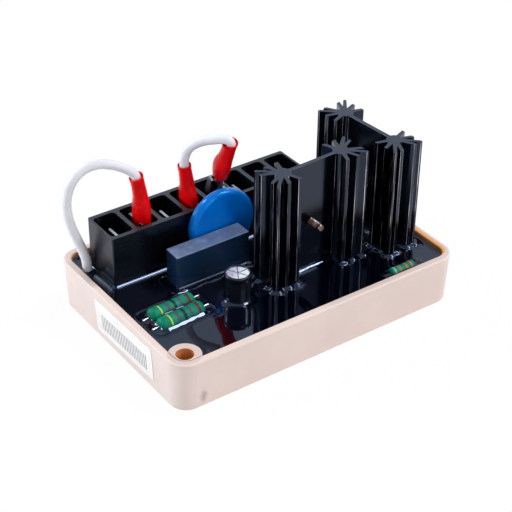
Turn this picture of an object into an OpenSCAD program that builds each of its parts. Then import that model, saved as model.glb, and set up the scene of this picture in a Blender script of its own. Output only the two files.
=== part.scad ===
// Potted automatic voltage regulator for a small generator.
// A moulded tray holds a circuit board under black potting compound. A row of spade terminals,
// two star-finned heat sinks and the larger components stand out of the compound.
// Millimetres. +X runs along the long side, +Y to the terminal row, +Z up.
// The origin is the centre of the tray's underside.

/* [Tray] */
// Outside length of the tray at its rim
tray_length = 100; // [97:0.5:112]
// Outside width of the tray at its rim
tray_width = 68; // [66:0.5:78]
// Height of the tray
tray_height = 16.4; // [15:0.1:22]
// Thickness of the tray walls
wall = 2.4; // [1.8:0.1:3]
// Thickness of the tray floor
floor_thickness = 2.2; // [1.6:0.1:3]
// Outside corner radius of the tray in plan
corner_radius = 6; // [5:0.5:7]
// How far the walls lean in from rim to foot
draft_inset = 0.6; // [0.2:0.1:1]
// Diameter of the two mounting holes
mount_bore = 5.3; // [4:0.1:6]
// Diameter of the round bosses that carry the mounting holes
boss_diameter = 9.5; // [8.5:0.1:10.5]
// Distance from the tray's outside to each mounting hole's axis
boss_inset = 5.5; // [5.4:0.1:6]

/* [Board and potting] */
// Depth of the compound's surface below the rim
fill_gap = 1.8; // [1:0.1:2.5]
// Depth of compound over the board
pot_cover = 2.3; // [1.6:0.1:3]
// Thickness of the circuit board
board_thickness = 1.6; // [1.2:0.1:2]
// Gap between the board's edge and the tray wall
board_gap = 0.8; // [0.5:0.1:1.5]

/* [Terminal row] */
// Distance between neighbouring terminal wells
well_pitch = 8.72; // [8.2:0.02:8.9]
// Front-to-back size of the terminal housing
housing_depth = 14.3; // [12.5:0.1:15]
// Height of the terminal housing above the board
housing_height = 19.3; // [18:0.1:22]
// Thickness of the walls round the wells
well_wall = 1.4; // [1:0.1:1.7]
// Depth of the wells below the housing's top
well_depth = 11; // [9.5:0.1:12]
// Width of the spade tabs
tab_width = 6.35; // [6:0.05:6.5]
// Thickness of the spade tabs
tab_thickness = 0.8; // [0.6:0.1:1]
// Distance from the housing's top down to the tips of the tabs
tab_drop = 2.7; // [1.5:0.1:4]

/* [Heat sinks] */
// Height of the two heat sinks
sink_height = 38.1; // [34:0.1:45]
// Thickness of the flat web between the finned ends
web_thickness = 1.3; // [1:0.1:2]
// Distance between the two finned ends' centres
star_pitch = 21.4; // [20.5:0.1:23]
// Front-to-back size of the fins' envelope
sink_depth = 11.2; // [10.5:0.1:12.2]
// Reach of the end fins past a star's centre
fin_reach = 6; // [5.4:0.1:6.5]
// Thickness of each fin at its tip
fin_thickness = 0.9; // [0.7:0.05:1.2]
// Thickness of each fin at its star's centre
fin_root = 1.5; // [1.2:0.05:1.8]
// Diameter of each star's core
star_core = 5; // [4:0.1:5.6]
// Height of the clamping screws above the board
screw_height = 17.8; // [16:0.1:20]
// Diameter of the clamping screws
screw_diameter = 2.6; // [2.2:0.1:3]
// Length of screw that shows past the web
screw_end = 4.6; // [2:0.1:5]
// How far the front heat sink stands turned from the tray's long side, in degrees
front_sink_turn = 2.4; // [-3:0.1:4]
// How far the rear heat sink stands turned from the tray's short side, in degrees
rear_sink_turn = 4.8; // [-3:0.1:5]

/* [Components] */
// Length of the film capacitor
film_length = 25.5; // [24:0.1:26.5]
// Thickness of the film capacitor
film_depth = 6.2; // [5:0.1:7]
// Height of the film capacitor above the board
film_height = 13.3; // [11:0.1:16]
// Diameter of the varistor disc
varistor_diameter = 22.4; // [18:0.1:23]
// Thickness of the varistor disc
varistor_thickness = 3.6; // [3:0.1:4.4]
// Diameter of the electrolytic capacitor
can_diameter = 8; // [6.3:0.1:9]
// Height of the electrolytic capacitor
can_height = 11.5; // [10:0.1:14]
// Length of the two large banded resistors
resistor_length = 15; // [13:0.1:16.5]
// Diameter of the two large banded resistors
resistor_diameter = 4.9; // [4:0.1:5]
// How far the two large resistors lie turned from the tray's long side, in degrees
resistor_turn = 4; // [-5:0.5:6]
// Length of the small resistor by the front wall
small_resistor_length = 9.2; // [8:0.1:12]
// Diameter of the small resistor by the front wall
small_resistor_diameter = 3.6; // [3:0.1:4.4]
// Diameter of the component leads
lead_diameter = 0.8; // [0.6:0.05:1]

/* [Wiring] */
// Outside diameter of the insulated wires
wire_diameter = 2.9; // [2.2:0.1:3]
// Length of each connector's insulating sleeve
sleeve_length = 16.6; // [16:0.1:18]
// Wall of the insulating sleeves
sleeve_wall = 0.4; // [0.3:0.05:0.5]

/* [Hidden] */
$fn = 48;
// Clearance between pieces that fit into one another
fit = 0.1;
// Clearance round leads in the board's holes
hole_clearance = 0.15;

// Inside faces of the tray
x_left = -tray_length / 2 + wall;
x_right = tray_length / 2 - wall;
y_front = -tray_width / 2 + wall;
y_back = tray_width / 2 - wall;
rim_rounding = 0.5;
foot_rounding = 0.8;
mount_x = tray_length / 2 - boss_inset;
mount_y = tray_width / 2 - boss_inset;
collar_width = 1.4;
post_diameter = 6;
post_inset = 5;

// Levels from the tray's underside
pot_level = tray_height - fill_gap;
board_top = pot_level - pot_cover;
board_bottom = board_top - board_thickness;

// Room left along X beside the terminal row and the rear sink, shared out as gaps at both walls
well_count = 8;
housing_length = well_count * well_pitch;
room_x = tray_length - 2 * wall - housing_length - sink_depth;
left_share = 0.2985;
right_share = 0.309;

// Room left along Y in the row of housing, varistor, film capacitor and front sink, shared out the same way
varistor_gap = 0.45;
film_row = housing_depth + varistor_thickness + 2 * varistor_gap + film_depth;
room_y = tray_width - 2 * wall - film_row - sink_depth;
back_share = 0.2389;
front_share = 0.5574;

// Terminal housing
housing_x0 = x_left + room_x * left_share;
housing_y1 = y_back - room_y * back_share;
housing_y0 = housing_y1 - housing_depth;
housing_top = board_top + housing_height;
housing_edge = 0.5;
well_floor = housing_top - well_depth;
well_width = well_pitch - well_wall;
well_run = housing_depth - 2 * well_wall;
well_corner = 1.3;
tab_y = (housing_y0 + housing_y1) / 2;
tab_tip = housing_top - tab_drop;
tab_chamfer = 0.9;
tab_hole = 1.6;
leg_width = 3;

// Heat sinks: the front one stops short of the rear one's flat side
sink_gap = 4.45;
sink_stagger = 7.1;
half_span = star_pitch / 2 + fin_reach;
rear_sink_x = x_right - room_x * right_share - sink_depth / 2;
front_sink_x = rear_sink_x - sink_depth / 2 - sink_gap - half_span;
front_sink_y = y_front + room_y * front_share + sink_depth / 2;
rear_sink_y = front_sink_y + sink_stagger;
fin_angles = [25, 43, 70, 109];
fin_span = norm([fin_reach, sink_depth / 2]) + fin_root;
screw_z = board_top + screw_height;
screw_head_diameter = 4.8;
screw_head_height = 1.8;
screw_slot = 0.8;
sink_pin_diameter = 2;

// Power devices clamped to the webs
device_width = 10.2;
device_plate = 1.3;
device_case_height = 9.2;
device_case_depth = 3.2;
device_tab_above = 2.8;
device_case_below = 3.7;
device_lead_pitch = 2.54;
device_lead_width = 0.8;
device_lead_thickness = 0.5;
device_case_z = screw_z - device_case_below - device_case_height;
device_lead_inset = 1.2;
device_lead_y = web_thickness / 2 + device_plate + device_lead_inset;

// Components in front of the terminal row
varistor_y1 = housing_y0 - varistor_gap;
varistor_y = varistor_y1 - varistor_thickness / 2;
film_y1 = varistor_y1 - varistor_thickness - varistor_gap;
film_y0 = film_y1 - film_depth;
film_inset = 14.85;
film_x0 = housing_x0 + film_inset;
film_lead_inset = 1.5;
film_pitch = film_length - 2 * film_lead_inset;
film_corner = 0.6;
film_lead_depth = 0.5;
varistor_inset = 4.5;
varistor_x = film_x0 + film_length - varistor_inset;
varistor_lift = pot_cover + fit;
varistor_z = board_top + varistor_lift + varistor_diameter / 2;
varistor_pitch = 10;
can_pitch = 3.5;
can_lead_depth = 1;
can_skin = 0.15;
can_lip = 0.8;
can_recess = 0.35;

// Banded resistors, lying on the board with their leads bent down past both ends
resistor_gap = 0.3;
resistor_bend = 2.2;
lead_reach = resistor_bend + lead_diameter / 2;
resistor_wall_gap = 2.4;
resistor_film_gap = 4.3;
resistor_x = x_left + resistor_wall_gap + lead_reach + resistor_length / 2;
resistor_y = film_y0 - resistor_film_gap - resistor_diameter / 2;
small_side_gap = 7.8;
small_front_gap = 1.3;
small_resistor_x = x_right - small_side_gap - lead_reach - small_resistor_length / 2;
small_resistor_y = y_front + small_front_gap + small_resistor_diameter / 2;
// Each resistor's place, length, diameter and turn
resistor_set = [
  [resistor_x, resistor_row(0), resistor_length, resistor_diameter, resistor_turn],
  [resistor_x, resistor_row(1), resistor_length, resistor_diameter, resistor_turn],
  [small_resistor_x, small_resistor_y, small_resistor_length, small_resistor_diameter, 0]
];

// Electrolytic capacitor, in the room between the resistors' leads and the front sink
can_share = 0.413;
can_forward = 2.15;
can_room_left = resistor_x + resistor_length / 2 + lead_reach;
can_room_right = front_sink_x - half_span;
can_x = can_room_left + can_share * (can_room_right - can_room_left - can_diameter) + can_diameter / 2;
can_y = front_sink_y - can_forward;

// Parts on the underside of the board: length, width and height
chip_size = [9.9, 3.9, 1.6];
sensing_size = [3.2, 1.6, 0.6];
sensing_pitch = 5;
timing_size = [3.5, 2.8, 1.9];
timing_pitch = 7;
diode_size = [4.6, 2.6, 2.2];
diode_forward = 5;

// Connectors: the wells they sit in, their tilt, how far each sleeve is slid up and its mouth pulled aside
connector_wells = [2, 4, 5];
connector_lift = [2.4, 2.4, 7.1];
connector_shift = [0, 0, -0.17];
connector_tilt = [0, 0, 21];
sleeve_slide = [5.4, 3.7, 9.6];
mouth_aside = [[0, 0], [-1.1, 0.2], [0, 0]];
grip_width = tab_width + 1.05;
grip_thickness = tab_thickness + 1.7;
grip_length = 7.7;
grip_sheet = 0.4;
barrel_start = 9.2;
barrel_length = 5.8;
sleeve_neck = 4.3;
neck_wall = 0.35;
sleeve_bore = sleeve_neck - 2 * neck_wall;
sleeve_body_length = 7.5;
sleeve_shoulder = 3.4;
sleeve_flare = 1.5;
sleeve_flare_out = 0.65;

// Route of the lead from the compound to the first connector
lead_route = [
  [-45.4, 23.6, pot_level], [-45.4, 23.6, 17.6], [-46.2, 23.8, 21.5], [-47.8, 24, 26.5], [-49.4, 24, 31.5],
  [-50.4, 23.8, 37], [-50.3, 23.4, 42], [-48.6, 22.8, 46.8], [-45.4, 22, 50], [-41.4, 21, 51],
  [-37.6, 20, 50.2], [-34.7, 19.2, 48.8], [-32.4, 18.6, 47.2], [-30.9, 18.1, 45.4],
  along(1, 19.8), barrel_top(1)
];
// Route of the jumper between the second and third connectors
jumper_route = [
  barrel_top(2), along(2, 15.7), [-13.85, 18.2, 41.9], [-14, 18.2, 44.2], [-13.6, 17.9, 46.8],
  [-12.9, 17.2, 48.8], [-11.5, 15.8, 50.6], [-9.6, 13.9, 51.9], [-7.6, 11.9, 52.6], [-5.8, 10.1, 53],
  [-4.7, 9, 52.8], [-4, 8.5, 51.6], along(3, 23), barrel_top(3)
];
wire_sides = 8;

// Plan of a rectangle with round corners, centred on the origin
module rounded_plan(length, width, radius) {
  square([length - 2 * radius, width], center = true);
  square([length, width - 2 * radius], center = true);
  for (sx = [-1, 1], sy = [-1, 1])
    translate([sx * (length / 2 - radius), sy * (width / 2 - radius)])
      circle(radius);
}

// Points of a quarter turn about a centre, from one angle to the next
function arc(centre, radius, from, to, steps) =
  [for (i = [0:steps])
    let (angle = from + (to - from) * i / steps)
    centre + radius * [cos(angle), sin(angle)]];

// Section of the tray wall: x is the distance out from the corner's centre, y the height
module wall_section() {
  inner = corner_radius - wall;
  foot = corner_radius - draft_inset;
  polygon(concat(
    [[inner, 0]],
    arc([foot - foot_rounding, foot_rounding], foot_rounding, -90, 0, 3),
    arc([corner_radius - rim_rounding, tray_height - rim_rounding], rim_rounding, 0, 90, 3),
    arc([inner + rim_rounding, tray_height - rim_rounding], rim_rounding, 90, 180, 3)
  ));
}

// One straight run of the tray wall, with its outside to +Y
module wall_run(length) {
  rotate([90, 0, 90])
    linear_extrude(length, center = true)
      wall_section();
}

// The four walls and corners, swept round the plan
module tray_walls() {
  run_x = tray_length - 2 * corner_radius;
  run_y = tray_width - 2 * corner_radius;
  for (side = [0, 1]) {
    rotate(180 * side)
      translate([0, run_y / 2, 0])
        wall_run(run_x);
    rotate(90 + 180 * side)
      translate([0, run_x / 2, 0])
        wall_run(run_y);
  }
  for (q = [0:3])
    translate([(q == 0 || q == 3 ? 1 : -1) * run_x / 2, (q < 2 ? 1 : -1) * run_y / 2, 0])
      rotate(90 * q)
        rotate_extrude(angle = 90)
          wall_section();
}

// Axes of the two mounting holes, on one diagonal
module at_mounts() {
  for (side = [-1, 1])
    translate([side * mount_x, side * mount_y, 0])
      children();
}

// Posts under the board in the corners without a boss and along the long sides
module support_posts() {
  for (place = [[x_left + post_inset, y_back - post_inset], [x_right - post_inset, y_front + post_inset],
                [0, y_back - post_inset], [0, y_front + post_inset]])
    translate([place.x, place.y, 0])
      cylinder(d = post_diameter, h = board_bottom);
}

// Bosses with a collar under the board, and the posts
module tray_inside() {
  at_mounts() {
    cylinder(d = boss_diameter, h = tray_height);
    cylinder(d = boss_diameter + 2 * collar_width, h = board_bottom);
  }
  support_posts();
}

// Space inside the tray walls
module cavity(from, to) {
  translate([0, 0, from])
    linear_extrude(to - from)
      rounded_plan(tray_length - 2 * wall, tray_width - 2 * wall, corner_radius - wall);
}

module tray() {
  floor_inset = draft_inset + foot_rounding;
  color("#dcc8bc")
    difference() {
      union() {
        tray_walls();
        linear_extrude(floor_thickness)
          rounded_plan(tray_length - 2 * floor_inset, tray_width - 2 * floor_inset,
                       corner_radius - floor_inset);
        intersection() {
          tray_inside();
          cavity(floor_thickness / 2, tray_height);
        }
      }
      at_mounts()
        translate([0, 0, -1])
          cylinder(d = mount_bore, h = tray_height + 2);
    }
}

// The board's outline without its lead holes
module board_blank() {
  translate([0, 0, board_bottom])
    linear_extrude(board_thickness)
      difference() {
        rounded_plan(tray_length - 2 * (wall + board_gap), tray_width - 2 * (wall + board_gap),
                     corner_radius - wall - board_gap);
        for (side = [-1, 1])
          translate([side * mount_x, side * mount_y])
            circle(d = boss_diameter + 2 * hole_clearance);
      }
}

module circuit_board() {
  color("#2f5d3a")
    difference() {
      board_blank();
      grow = hole_clearance;
      for (i = [1:well_count])
        translate([tab_x(i), tab_y, board_bottom])
          cube([tab_thickness + 2 * grow, leg_width + 2 * grow, 3 * board_thickness], center = true);
      at_sinks()
        at_sink_pins()
          cylinder(d = sink_pin_diameter + 2 * grow, h = 3 * board_thickness, center = true);
      at_sinks()
        at_device_leads()
          cube([device_lead_width + 2 * grow, device_lead_thickness + 2 * grow, 3 * board_thickness],
               center = true);
      at_leads()
        cylinder(d = lead_diameter + 2 * grow, h = 3 * board_thickness, center = true);
    }
}

// Both sinks' frames: x along the web, +y to the device, z from the board's top
module at_front_sink() {
  translate([front_sink_x, front_sink_y, board_top])
    rotate(front_sink_turn)
      children();
}
module at_rear_sink() {
  translate([rear_sink_x, rear_sink_y, board_top])
    rotate(rear_sink_turn - 90)
      children();
}
module at_sinks() {
  at_front_sink() children();
  at_rear_sink() children();
}
module at_sink_pins() {
  for (side = [-1, 1])
    translate([side * star_pitch / 2, 0, 0])
      children();
}
module at_device_leads() {
  for (i = [-1:1])
    translate([i * device_lead_pitch, device_lead_y, 0])
      children();
}

// Lead holes of the round-wired components, as places on the board's top
function resistor_ends(r) =
  [for (side = [-1, 1]) [r[0], r[1]] + side * (r[2] / 2 + resistor_bend) * [cos(r[4]), sin(r[4])]];
function resistor_row(i) = resistor_y - i * (resistor_diameter + resistor_gap);
film_x = film_x0 + film_length / 2;
film_y = (film_y0 + film_y1) / 2;
film_leads = [for (side = [-1, 1]) [film_x + side * film_pitch / 2, film_y]];
varistor_feet = [for (side = [-1, 1]) [varistor_x + side * varistor_pitch / 2, varistor_y]];
can_leads = [for (side = [-1, 1]) [can_x + side * can_pitch / 2, can_y]];
module at_leads() {
  places = concat(film_leads, varistor_feet, can_leads, [for (r = resistor_set) each resistor_ends(r)]);
  for (place = places)
    translate([place.x, place.y, board_top])
      children();
}

// Compound poured round everything that stands on and hangs under the board
module potting() {
  color("#15161f")
    difference() {
      cavity(floor_thickness, pot_level);
      tray_inside();
      board_blank();
      housing_block();
      at_sinks()
        sink_profile(sink_height);
      at_sinks()
        at_device_leads()
          translate([0, 0, pot_cover / 2])
            cube([device_lead_width, device_lead_thickness, 2 * pot_cover], center = true);
      film_block();
      for (place = concat(film_leads, varistor_feet, can_leads))
        translate([place.x, place.y, board_top])
          cylinder(d = lead_diameter, h = 2 * pot_cover);
      translate([can_x, can_y, board_top])
        cylinder(d = can_diameter, h = can_height);
      for (r = resistor_set) {
        resistor_body(r);
        resistor_wires(r);
      }
      chip_block();
      sensing_blocks();
      timing_blocks();
      diode_blocks();
    }
}

function tab_x(i) = housing_x0 + (i - 0.5) * well_pitch;

// The housing's outside, with softened upright edges
module housing_block() {
  translate([housing_x0 + housing_length / 2, tab_y, board_top])
    linear_extrude(housing_height)
      rounded_plan(housing_length, housing_depth, housing_edge);
}

module terminal_housing() {
  color("#17181d")
    difference() {
      housing_block();
      for (i = [1:well_count])
        translate([tab_x(i), tab_y, 0]) {
          translate([0, 0, well_floor])
            linear_extrude(well_depth + 1)
              rounded_plan(well_width, well_run, well_corner);
          translate([0, 0, well_floor])
            cube([tab_thickness + 2 * fit, leg_width + 2 * fit, 2 * housing_height], center = true);
        }
    }
}

// Blade with a chamfered tip and a hole, on a narrow leg that runs down through the board
module spade_tab(i) {
  blade = tab_tip - well_floor;
  color("#c9cdd2")
    translate([tab_x(i) + tab_thickness / 2, tab_y, well_floor])
      rotate([90, 0, -90])
        linear_extrude(tab_thickness)
          difference() {
            union() {
              polygon([
                [-tab_width / 2, 0], [tab_width / 2, 0], [tab_width / 2, blade - tab_chamfer],
                [tab_width / 2 - tab_chamfer, blade], [tab_chamfer - tab_width / 2, blade],
                [-tab_width / 2, blade - tab_chamfer]
              ]);
              translate([-leg_width / 2, board_bottom - well_floor])
                square([leg_width, well_floor - board_bottom + tab_chamfer]);
            }
            translate([0, blade * 0.55])
              circle(d = tab_hole);
          }
}

// One finned end: tapered radial fins that stop on a rectangle, open to the web's side
module star() {
  intersection() {
    union() {
      circle(d = star_core);
      for (a = fin_angles, s = [-1, 1])
        rotate(s * a)
          polygon([
            [0, -fin_root / 2], [fin_span, -fin_thickness / 2],
            [fin_span, fin_thickness / 2], [0, fin_root / 2]
          ]);
    }
    translate([-sink_depth / 2, -sink_depth / 2])
      square([sink_depth / 2 + fin_reach, sink_depth]);
  }
}

// The heat sink's section, extruded upright
module sink_profile(height) {
  linear_extrude(height) {
    square([star_pitch, web_thickness], center = true);
    translate([star_pitch / 2, 0])
      star();
    translate([-star_pitch / 2, 0])
      mirror([1, 0])
        star();
  }
}

module heatsink() {
  color("#1d1e26")
    difference() {
      sink_profile(sink_height);
      translate([0, 0, screw_height])
        rotate([90, 0, 0])
          cylinder(d = screw_diameter + 2 * fit, h = 3 * web_thickness, center = true);
      at_sink_pins()
        cylinder(d = sink_pin_diameter, h = 2 * sink_pin_diameter, center = true);
    }
}
module heatsink_front() {
  at_front_sink() heatsink();
}
module heatsink_rear() {
  at_rear_sink() heatsink();
}

// Steel pins pressed into the sinks' feet and soldered in the board
module sink_pins() {
  color("#b9bcc0")
    at_sinks()
      at_sink_pins()
        translate([0, 0, -board_thickness])
          cylinder(d = sink_pin_diameter, h = board_thickness + sink_pin_diameter);
}

// Moulded case of a clamped power device, in its sink's frame
module device_case() {
  color("#202124")
    translate([-device_width / 2, web_thickness / 2 + device_plate, device_case_z - board_top])
      cube([device_width, device_case_depth, device_case_height]);
}
// Metal plate behind the case, and the three leads under it
module device_frame() {
  plate_top = screw_height + device_tab_above;
  plate_foot = device_case_z - board_top;
  color("#c3c6ca") {
    difference() {
      translate([-device_width / 2, web_thickness / 2, plate_foot])
        cube([device_width, device_plate, plate_top - plate_foot]);
      translate([0, web_thickness / 2, screw_height])
        rotate([90, 0, 0])
          cylinder(d = screw_diameter + 2 * fit, h = 4 * device_plate, center = true);
    }
    at_device_leads()
      translate([-device_lead_width / 2, -device_lead_thickness / 2, -board_thickness])
        cube([device_lead_width, device_lead_thickness, plate_foot + board_thickness]);
  }
}
module thyristor_case() {
  at_front_sink() device_case();
}
module thyristor_frame() {
  at_front_sink() device_frame();
}
module diode_case() {
  at_rear_sink() device_case();
}
module diode_frame() {
  at_rear_sink() device_frame();
}

// Cheese-head screw: its head on the device's plate, its end out past the web
module screw() {
  head_y = web_thickness / 2 + device_plate;
  color("#b0703f")
    translate([0, head_y, screw_height])
      rotate([90, 0, 0]) {
        cylinder(d = screw_diameter, h = head_y + web_thickness / 2 + screw_end);
        difference() {
          translate([0, 0, -screw_head_height])
            cylinder(d = screw_head_diameter, h = screw_head_height);
          translate([0, 0, -screw_head_height])
            cube([screw_head_diameter * 2, screw_slot, screw_head_height], center = true);
        }
      }
}
module screw_front() {
  at_front_sink() screw();
}
module screw_rear() {
  at_rear_sink() screw();
}

// Box of the film capacitor
module film_block() {
  translate([film_x, film_y, board_top])
    linear_extrude(film_height)
      rounded_plan(film_length, film_depth, film_corner);
}
module film_capacitor() {
  color("#2b3f57")
    difference() {
      film_block();
      for (place = film_leads)
        translate([place.x, place.y, board_top])
          cylinder(d = lead_diameter, h = 2 * film_lead_depth, center = true);
    }
}
module film_capacitor_leads() {
  color("#c9cdd2")
    for (place = film_leads)
      translate([place.x, place.y, board_bottom])
        cylinder(d = lead_diameter, h = board_thickness + film_lead_depth);
}

// Dipped disc with a round edge, facing the front
module varistor() {
  edge = varistor_thickness / 2;
  flat = varistor_diameter / 2 - edge;
  color("#0f62b4")
    difference() {
      translate([varistor_x, varistor_y, varistor_z])
        rotate([90, 0, 0])
          rotate_extrude()
            union() {
              translate([0, -edge])
                square([flat, 2 * edge]);
              intersection() {
                translate([flat, 0])
                  circle(r = edge);
                translate([0, -edge])
                  square([flat + edge, 2 * edge]);
              }
            }
      varistor_wires();
    }
}
// Straight leads from the disc down through the board
module varistor_wires() {
  for (place = varistor_feet)
    translate([place.x, place.y, board_bottom])
      cylinder(d = lead_diameter, h = board_thickness + varistor_lift + varistor_diameter / 4);
}
module varistor_leads() {
  color("#c9cdd2")
    varistor_wires();
}

// Aluminium can with a scored end
module electrolytic_can() {
  score = 0.3;
  inner = can_diameter - 2 * can_skin;
  color("#d4d7db")
    difference() {
      translate([can_x, can_y, board_top])
        cylinder(d = inner, h = can_height - can_recess);
      for (turn = [0, 60, 120])
        translate([can_x, can_y, board_top + can_height - can_recess])
          rotate(turn)
            cube([inner - 2 * can_lip, score, score], center = true);
      for (place = can_leads)
        translate([place.x, place.y, board_top])
          cylinder(d = lead_diameter, h = 2 * can_lead_depth, center = true);
    }
}
// Shrunk sleeve that folds in over the can's end
module electrolytic_sleeve() {
  inner = can_diameter - 2 * can_skin;
  color("#1b1c22")
    translate([can_x, can_y, board_top])
      difference() {
        cylinder(d = can_diameter, h = can_height);
        translate([0, 0, -1])
          cylinder(d = inner, h = can_height - can_recess + 1);
        cylinder(d = inner - 2 * can_lip, h = can_height + 1);
      }
}
module electrolytic_leads() {
  color("#c9cdd2")
    for (place = can_leads)
      translate([place.x, place.y, board_bottom])
        cylinder(d = lead_diameter, h = board_thickness + can_lead_depth);
}

// Frame of a resistor: its middle at the origin, its axis along +X
module at_resistor(r) {
  translate([r[0], r[1], board_top + r[3] / 2])
    rotate(r[4])
      children();
}
// Body of a banded resistor: raised ends, a slimmer barrel and round edges
module resistor_body(r) {
  half = r[2] / 2;
  end = r[3] / 2;
  barrel = end * 0.94;
  cap = half * 0.34;
  at_resistor(r)
    rotate([0, 90, 0])
      rotate_extrude()
        polygon([
          [0, -half], [end * 0.55, -half], [end * 0.88, -half + end * 0.18], [end, -half + end * 0.5],
          [end, cap - half], [barrel, cap - half + end * 0.3], [barrel, half - cap - end * 0.3],
          [end, half - cap], [end, half - end * 0.5], [end * 0.88, half - end * 0.18],
          [end * 0.55, half], [0, half]
        ]);
}
// Leads of a resistor: out along its axis, then down through the board
module resistor_wires(r) {
  drop = r[3] / 2 + board_thickness;
  at_resistor(r)
    for (side = [-1, 1])
      translate([side * r[2] / 2, 0, 0]) {
        rotate([0, side * 90, 0])
          cylinder(d = lead_diameter, h = resistor_bend);
        translate([side * resistor_bend, 0, 0]) {
          sphere(d = lead_diameter);
          translate([0, 0, -drop])
            cylinder(d = lead_diameter, h = drop);
        }
      }
}
module resistor(n) {
  color("#0c9c78") resistor_body(resistor_set[n - 1]);
}
module resistor_leads(n) {
  color("#c9cdd2") resistor_wires(resistor_set[n - 1]);
}

// Small parts soldered flat against the board's underside
module under_block(x, y, size) {
  translate([x - size.x / 2, y - size.y / 2, board_bottom - size.z])
    cube(size);
}
module chip_block() {
  under_block(film_x, film_y, chip_size);
}
module sensing_blocks() {
  for (i = [0:3])
    under_block(can_x + (i - 1.5) * sensing_pitch, resistor_row(1), sensing_size);
}
module timing_blocks() {
  for (i = [0:1])
    under_block(front_sink_x + (i - 0.5) * timing_pitch, film_y, timing_size);
}
module diode_blocks() {
  for (well = [2:5])
    under_block(tab_x(well), tab_y - diode_forward, diode_size);
}
module control_chip() {
  color("#26272b") chip_block();
}
module sensing_resistors() {
  color("#303136") sensing_blocks();
}
module timing_capacitors() {
  color("#b79a6a") timing_blocks();
}
module signal_diodes() {
  color("#2a2b2f") diode_blocks();
}

// Frame of a connector: its grip's foot at the origin, its axis along +Z
module at_connector(n) {
  translate(along(n, 0))
    rotate([connector_tilt[n - 1], 0, 0])
      children();
}
// Point on a connector's axis at a distance from its foot
function along(n, s) =
  [tab_x(connector_wells[n - 1]),
   tab_y + connector_shift[n - 1] - s * sin(connector_tilt[n - 1]),
   well_floor + connector_lift[n - 1] + s * cos(connector_tilt[n - 1])];
function barrel_top(n) = along(n, barrel_start + barrel_length);

// Folded push-on receptacle: a grip round the tab, a strap and a crimped barrel
module receptacle(n) {
  slot = tab_thickness + 2 * fit;
  color("#c7a15a")
    at_connector(n) {
      linear_extrude(grip_length)
        difference() {
          square([grip_thickness, grip_width], center = true);
          square([slot, grip_width - 2 * grip_sheet], center = true);
          translate([-grip_thickness / 2, 0])
            square([grip_thickness, grip_width * 0.45], center = true);
        }
      translate([slot / 2, -leg_width / 2, grip_length])
        cube([grip_sheet, leg_width, barrel_start - grip_length]);
      translate([0, 0, barrel_start])
        cylinder(d = wire_diameter, h = barrel_length);
    }
}
module receptacle_1() {
  receptacle(1);
}
module receptacle_2() {
  receptacle(2);
}
module receptacle_3() {
  receptacle(3);
}

// Plan of the sleeve's flat body, round at both edges
module flat_plan(thickness, width) {
  square([thickness, width - thickness], center = true);
  for (side = [-1, 1])
    translate([0, side * (width - thickness) / 2])
      circle(d = thickness);
}
// Round stretch from a place on the axis to a mouth that may be pulled aside
module neck_tube(diameter, start, mouth) {
  hull() {
    translate([0, 0, start])
      cylinder(d = diameter, h = 0.1);
    translate(mouth)
      cylinder(d = diameter, h = 0.1);
  }
}
// Insulating sleeve: flat body, shoulder, round neck and flared mouth
module sleeve(n) {
  inside_thickness = max(grip_thickness, wire_diameter) + 2 * fit;
  inside_width = grip_width + 2 * fit;
  body_thickness = inside_thickness + 2 * sleeve_wall;
  body_width = inside_width + 2 * sleeve_wall;
  neck_start = sleeve_body_length + sleeve_shoulder;
  flare_start = sleeve_length - sleeve_flare;
  mouth = [mouth_aside[n - 1].x, mouth_aside[n - 1].y, flare_start];
  color("#e01020")
    at_connector(n)
      translate([0, 0, sleeve_slide[n - 1]])
        difference() {
          union() {
            linear_extrude(sleeve_body_length)
              flat_plan(body_thickness, body_width);
            hull() {
              translate([0, 0, sleeve_body_length - 0.1])
                linear_extrude(0.1)
                  flat_plan(body_thickness, body_width);
              translate([0, 0, neck_start])
                cylinder(d = sleeve_neck, h = 0.1);
            }
            neck_tube(sleeve_neck, neck_start, mouth);
            translate(mouth)
              cylinder(d1 = sleeve_neck, d2 = sleeve_neck + 2 * sleeve_flare_out, h = sleeve_flare);
          }
          translate([0, 0, -1])
            linear_extrude(sleeve_body_length + 1)
              square([inside_thickness, inside_width], center = true);
          translate([0, 0, sleeve_body_length - 1])
            cylinder(d = sleeve_bore, h = sleeve_shoulder + 1.1);
          neck_tube(sleeve_bore, neck_start, mouth);
          translate(mouth)
            cylinder(d1 = sleeve_bore, d2 = sleeve_bore + 2 * sleeve_flare_out, h = sleeve_flare + 0.01);
        }
}
module sleeve_1() {
  sleeve(1);
}
module sleeve_2() {
  sleeve(2);
}
// The jumper bends sharply into the third sleeve and presses its rim down
module sleeve_3() {
  difference() {
    sleeve(3);
    tube(jumper_route, wire_diameter / 2 + fit);
  }
}

// Round tube swept along a route, one ring at each point
function unit(v) = v / norm(v);
function heading(route, i) =
  i == 0 ? unit(route[1] - route[0])
  : i == len(route) - 1 ? unit(route[i] - route[i - 1])
  : unit(unit(route[i + 1] - route[i]) + unit(route[i] - route[i - 1]));
function ring(centre, along, radius) =
  let (across = unit(cross(along, [0.2, 1, 0.1])), up = cross(across, along))
  [for (k = [0:wire_sides - 1])
    centre + radius * (cos(360 * k / wire_sides) * across + sin(360 * k / wire_sides) * up)];
module tube(route, radius) {
  last = len(route) - 1;
  points = [for (i = [0:last]) each ring(route[i], heading(route, i), radius)];
  walls = [for (i = [0:last - 1], k = [0:wire_sides - 1])
    let (a = i * wire_sides + k, b = i * wire_sides + (k + 1) % wire_sides)
    each [[a, b, b + wire_sides], [a, b + wire_sides, a + wire_sides]]];
  start = [[for (k = [wire_sides - 1:-1:0]) k]];
  finish = [[for (k = [0:wire_sides - 1]) last * wire_sides + k]];
  polyhedron(points, concat(start, walls, finish));
}
module lead_wire() {
  color("#eeeef2") tube(lead_route, wire_diameter / 2);
}
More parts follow.
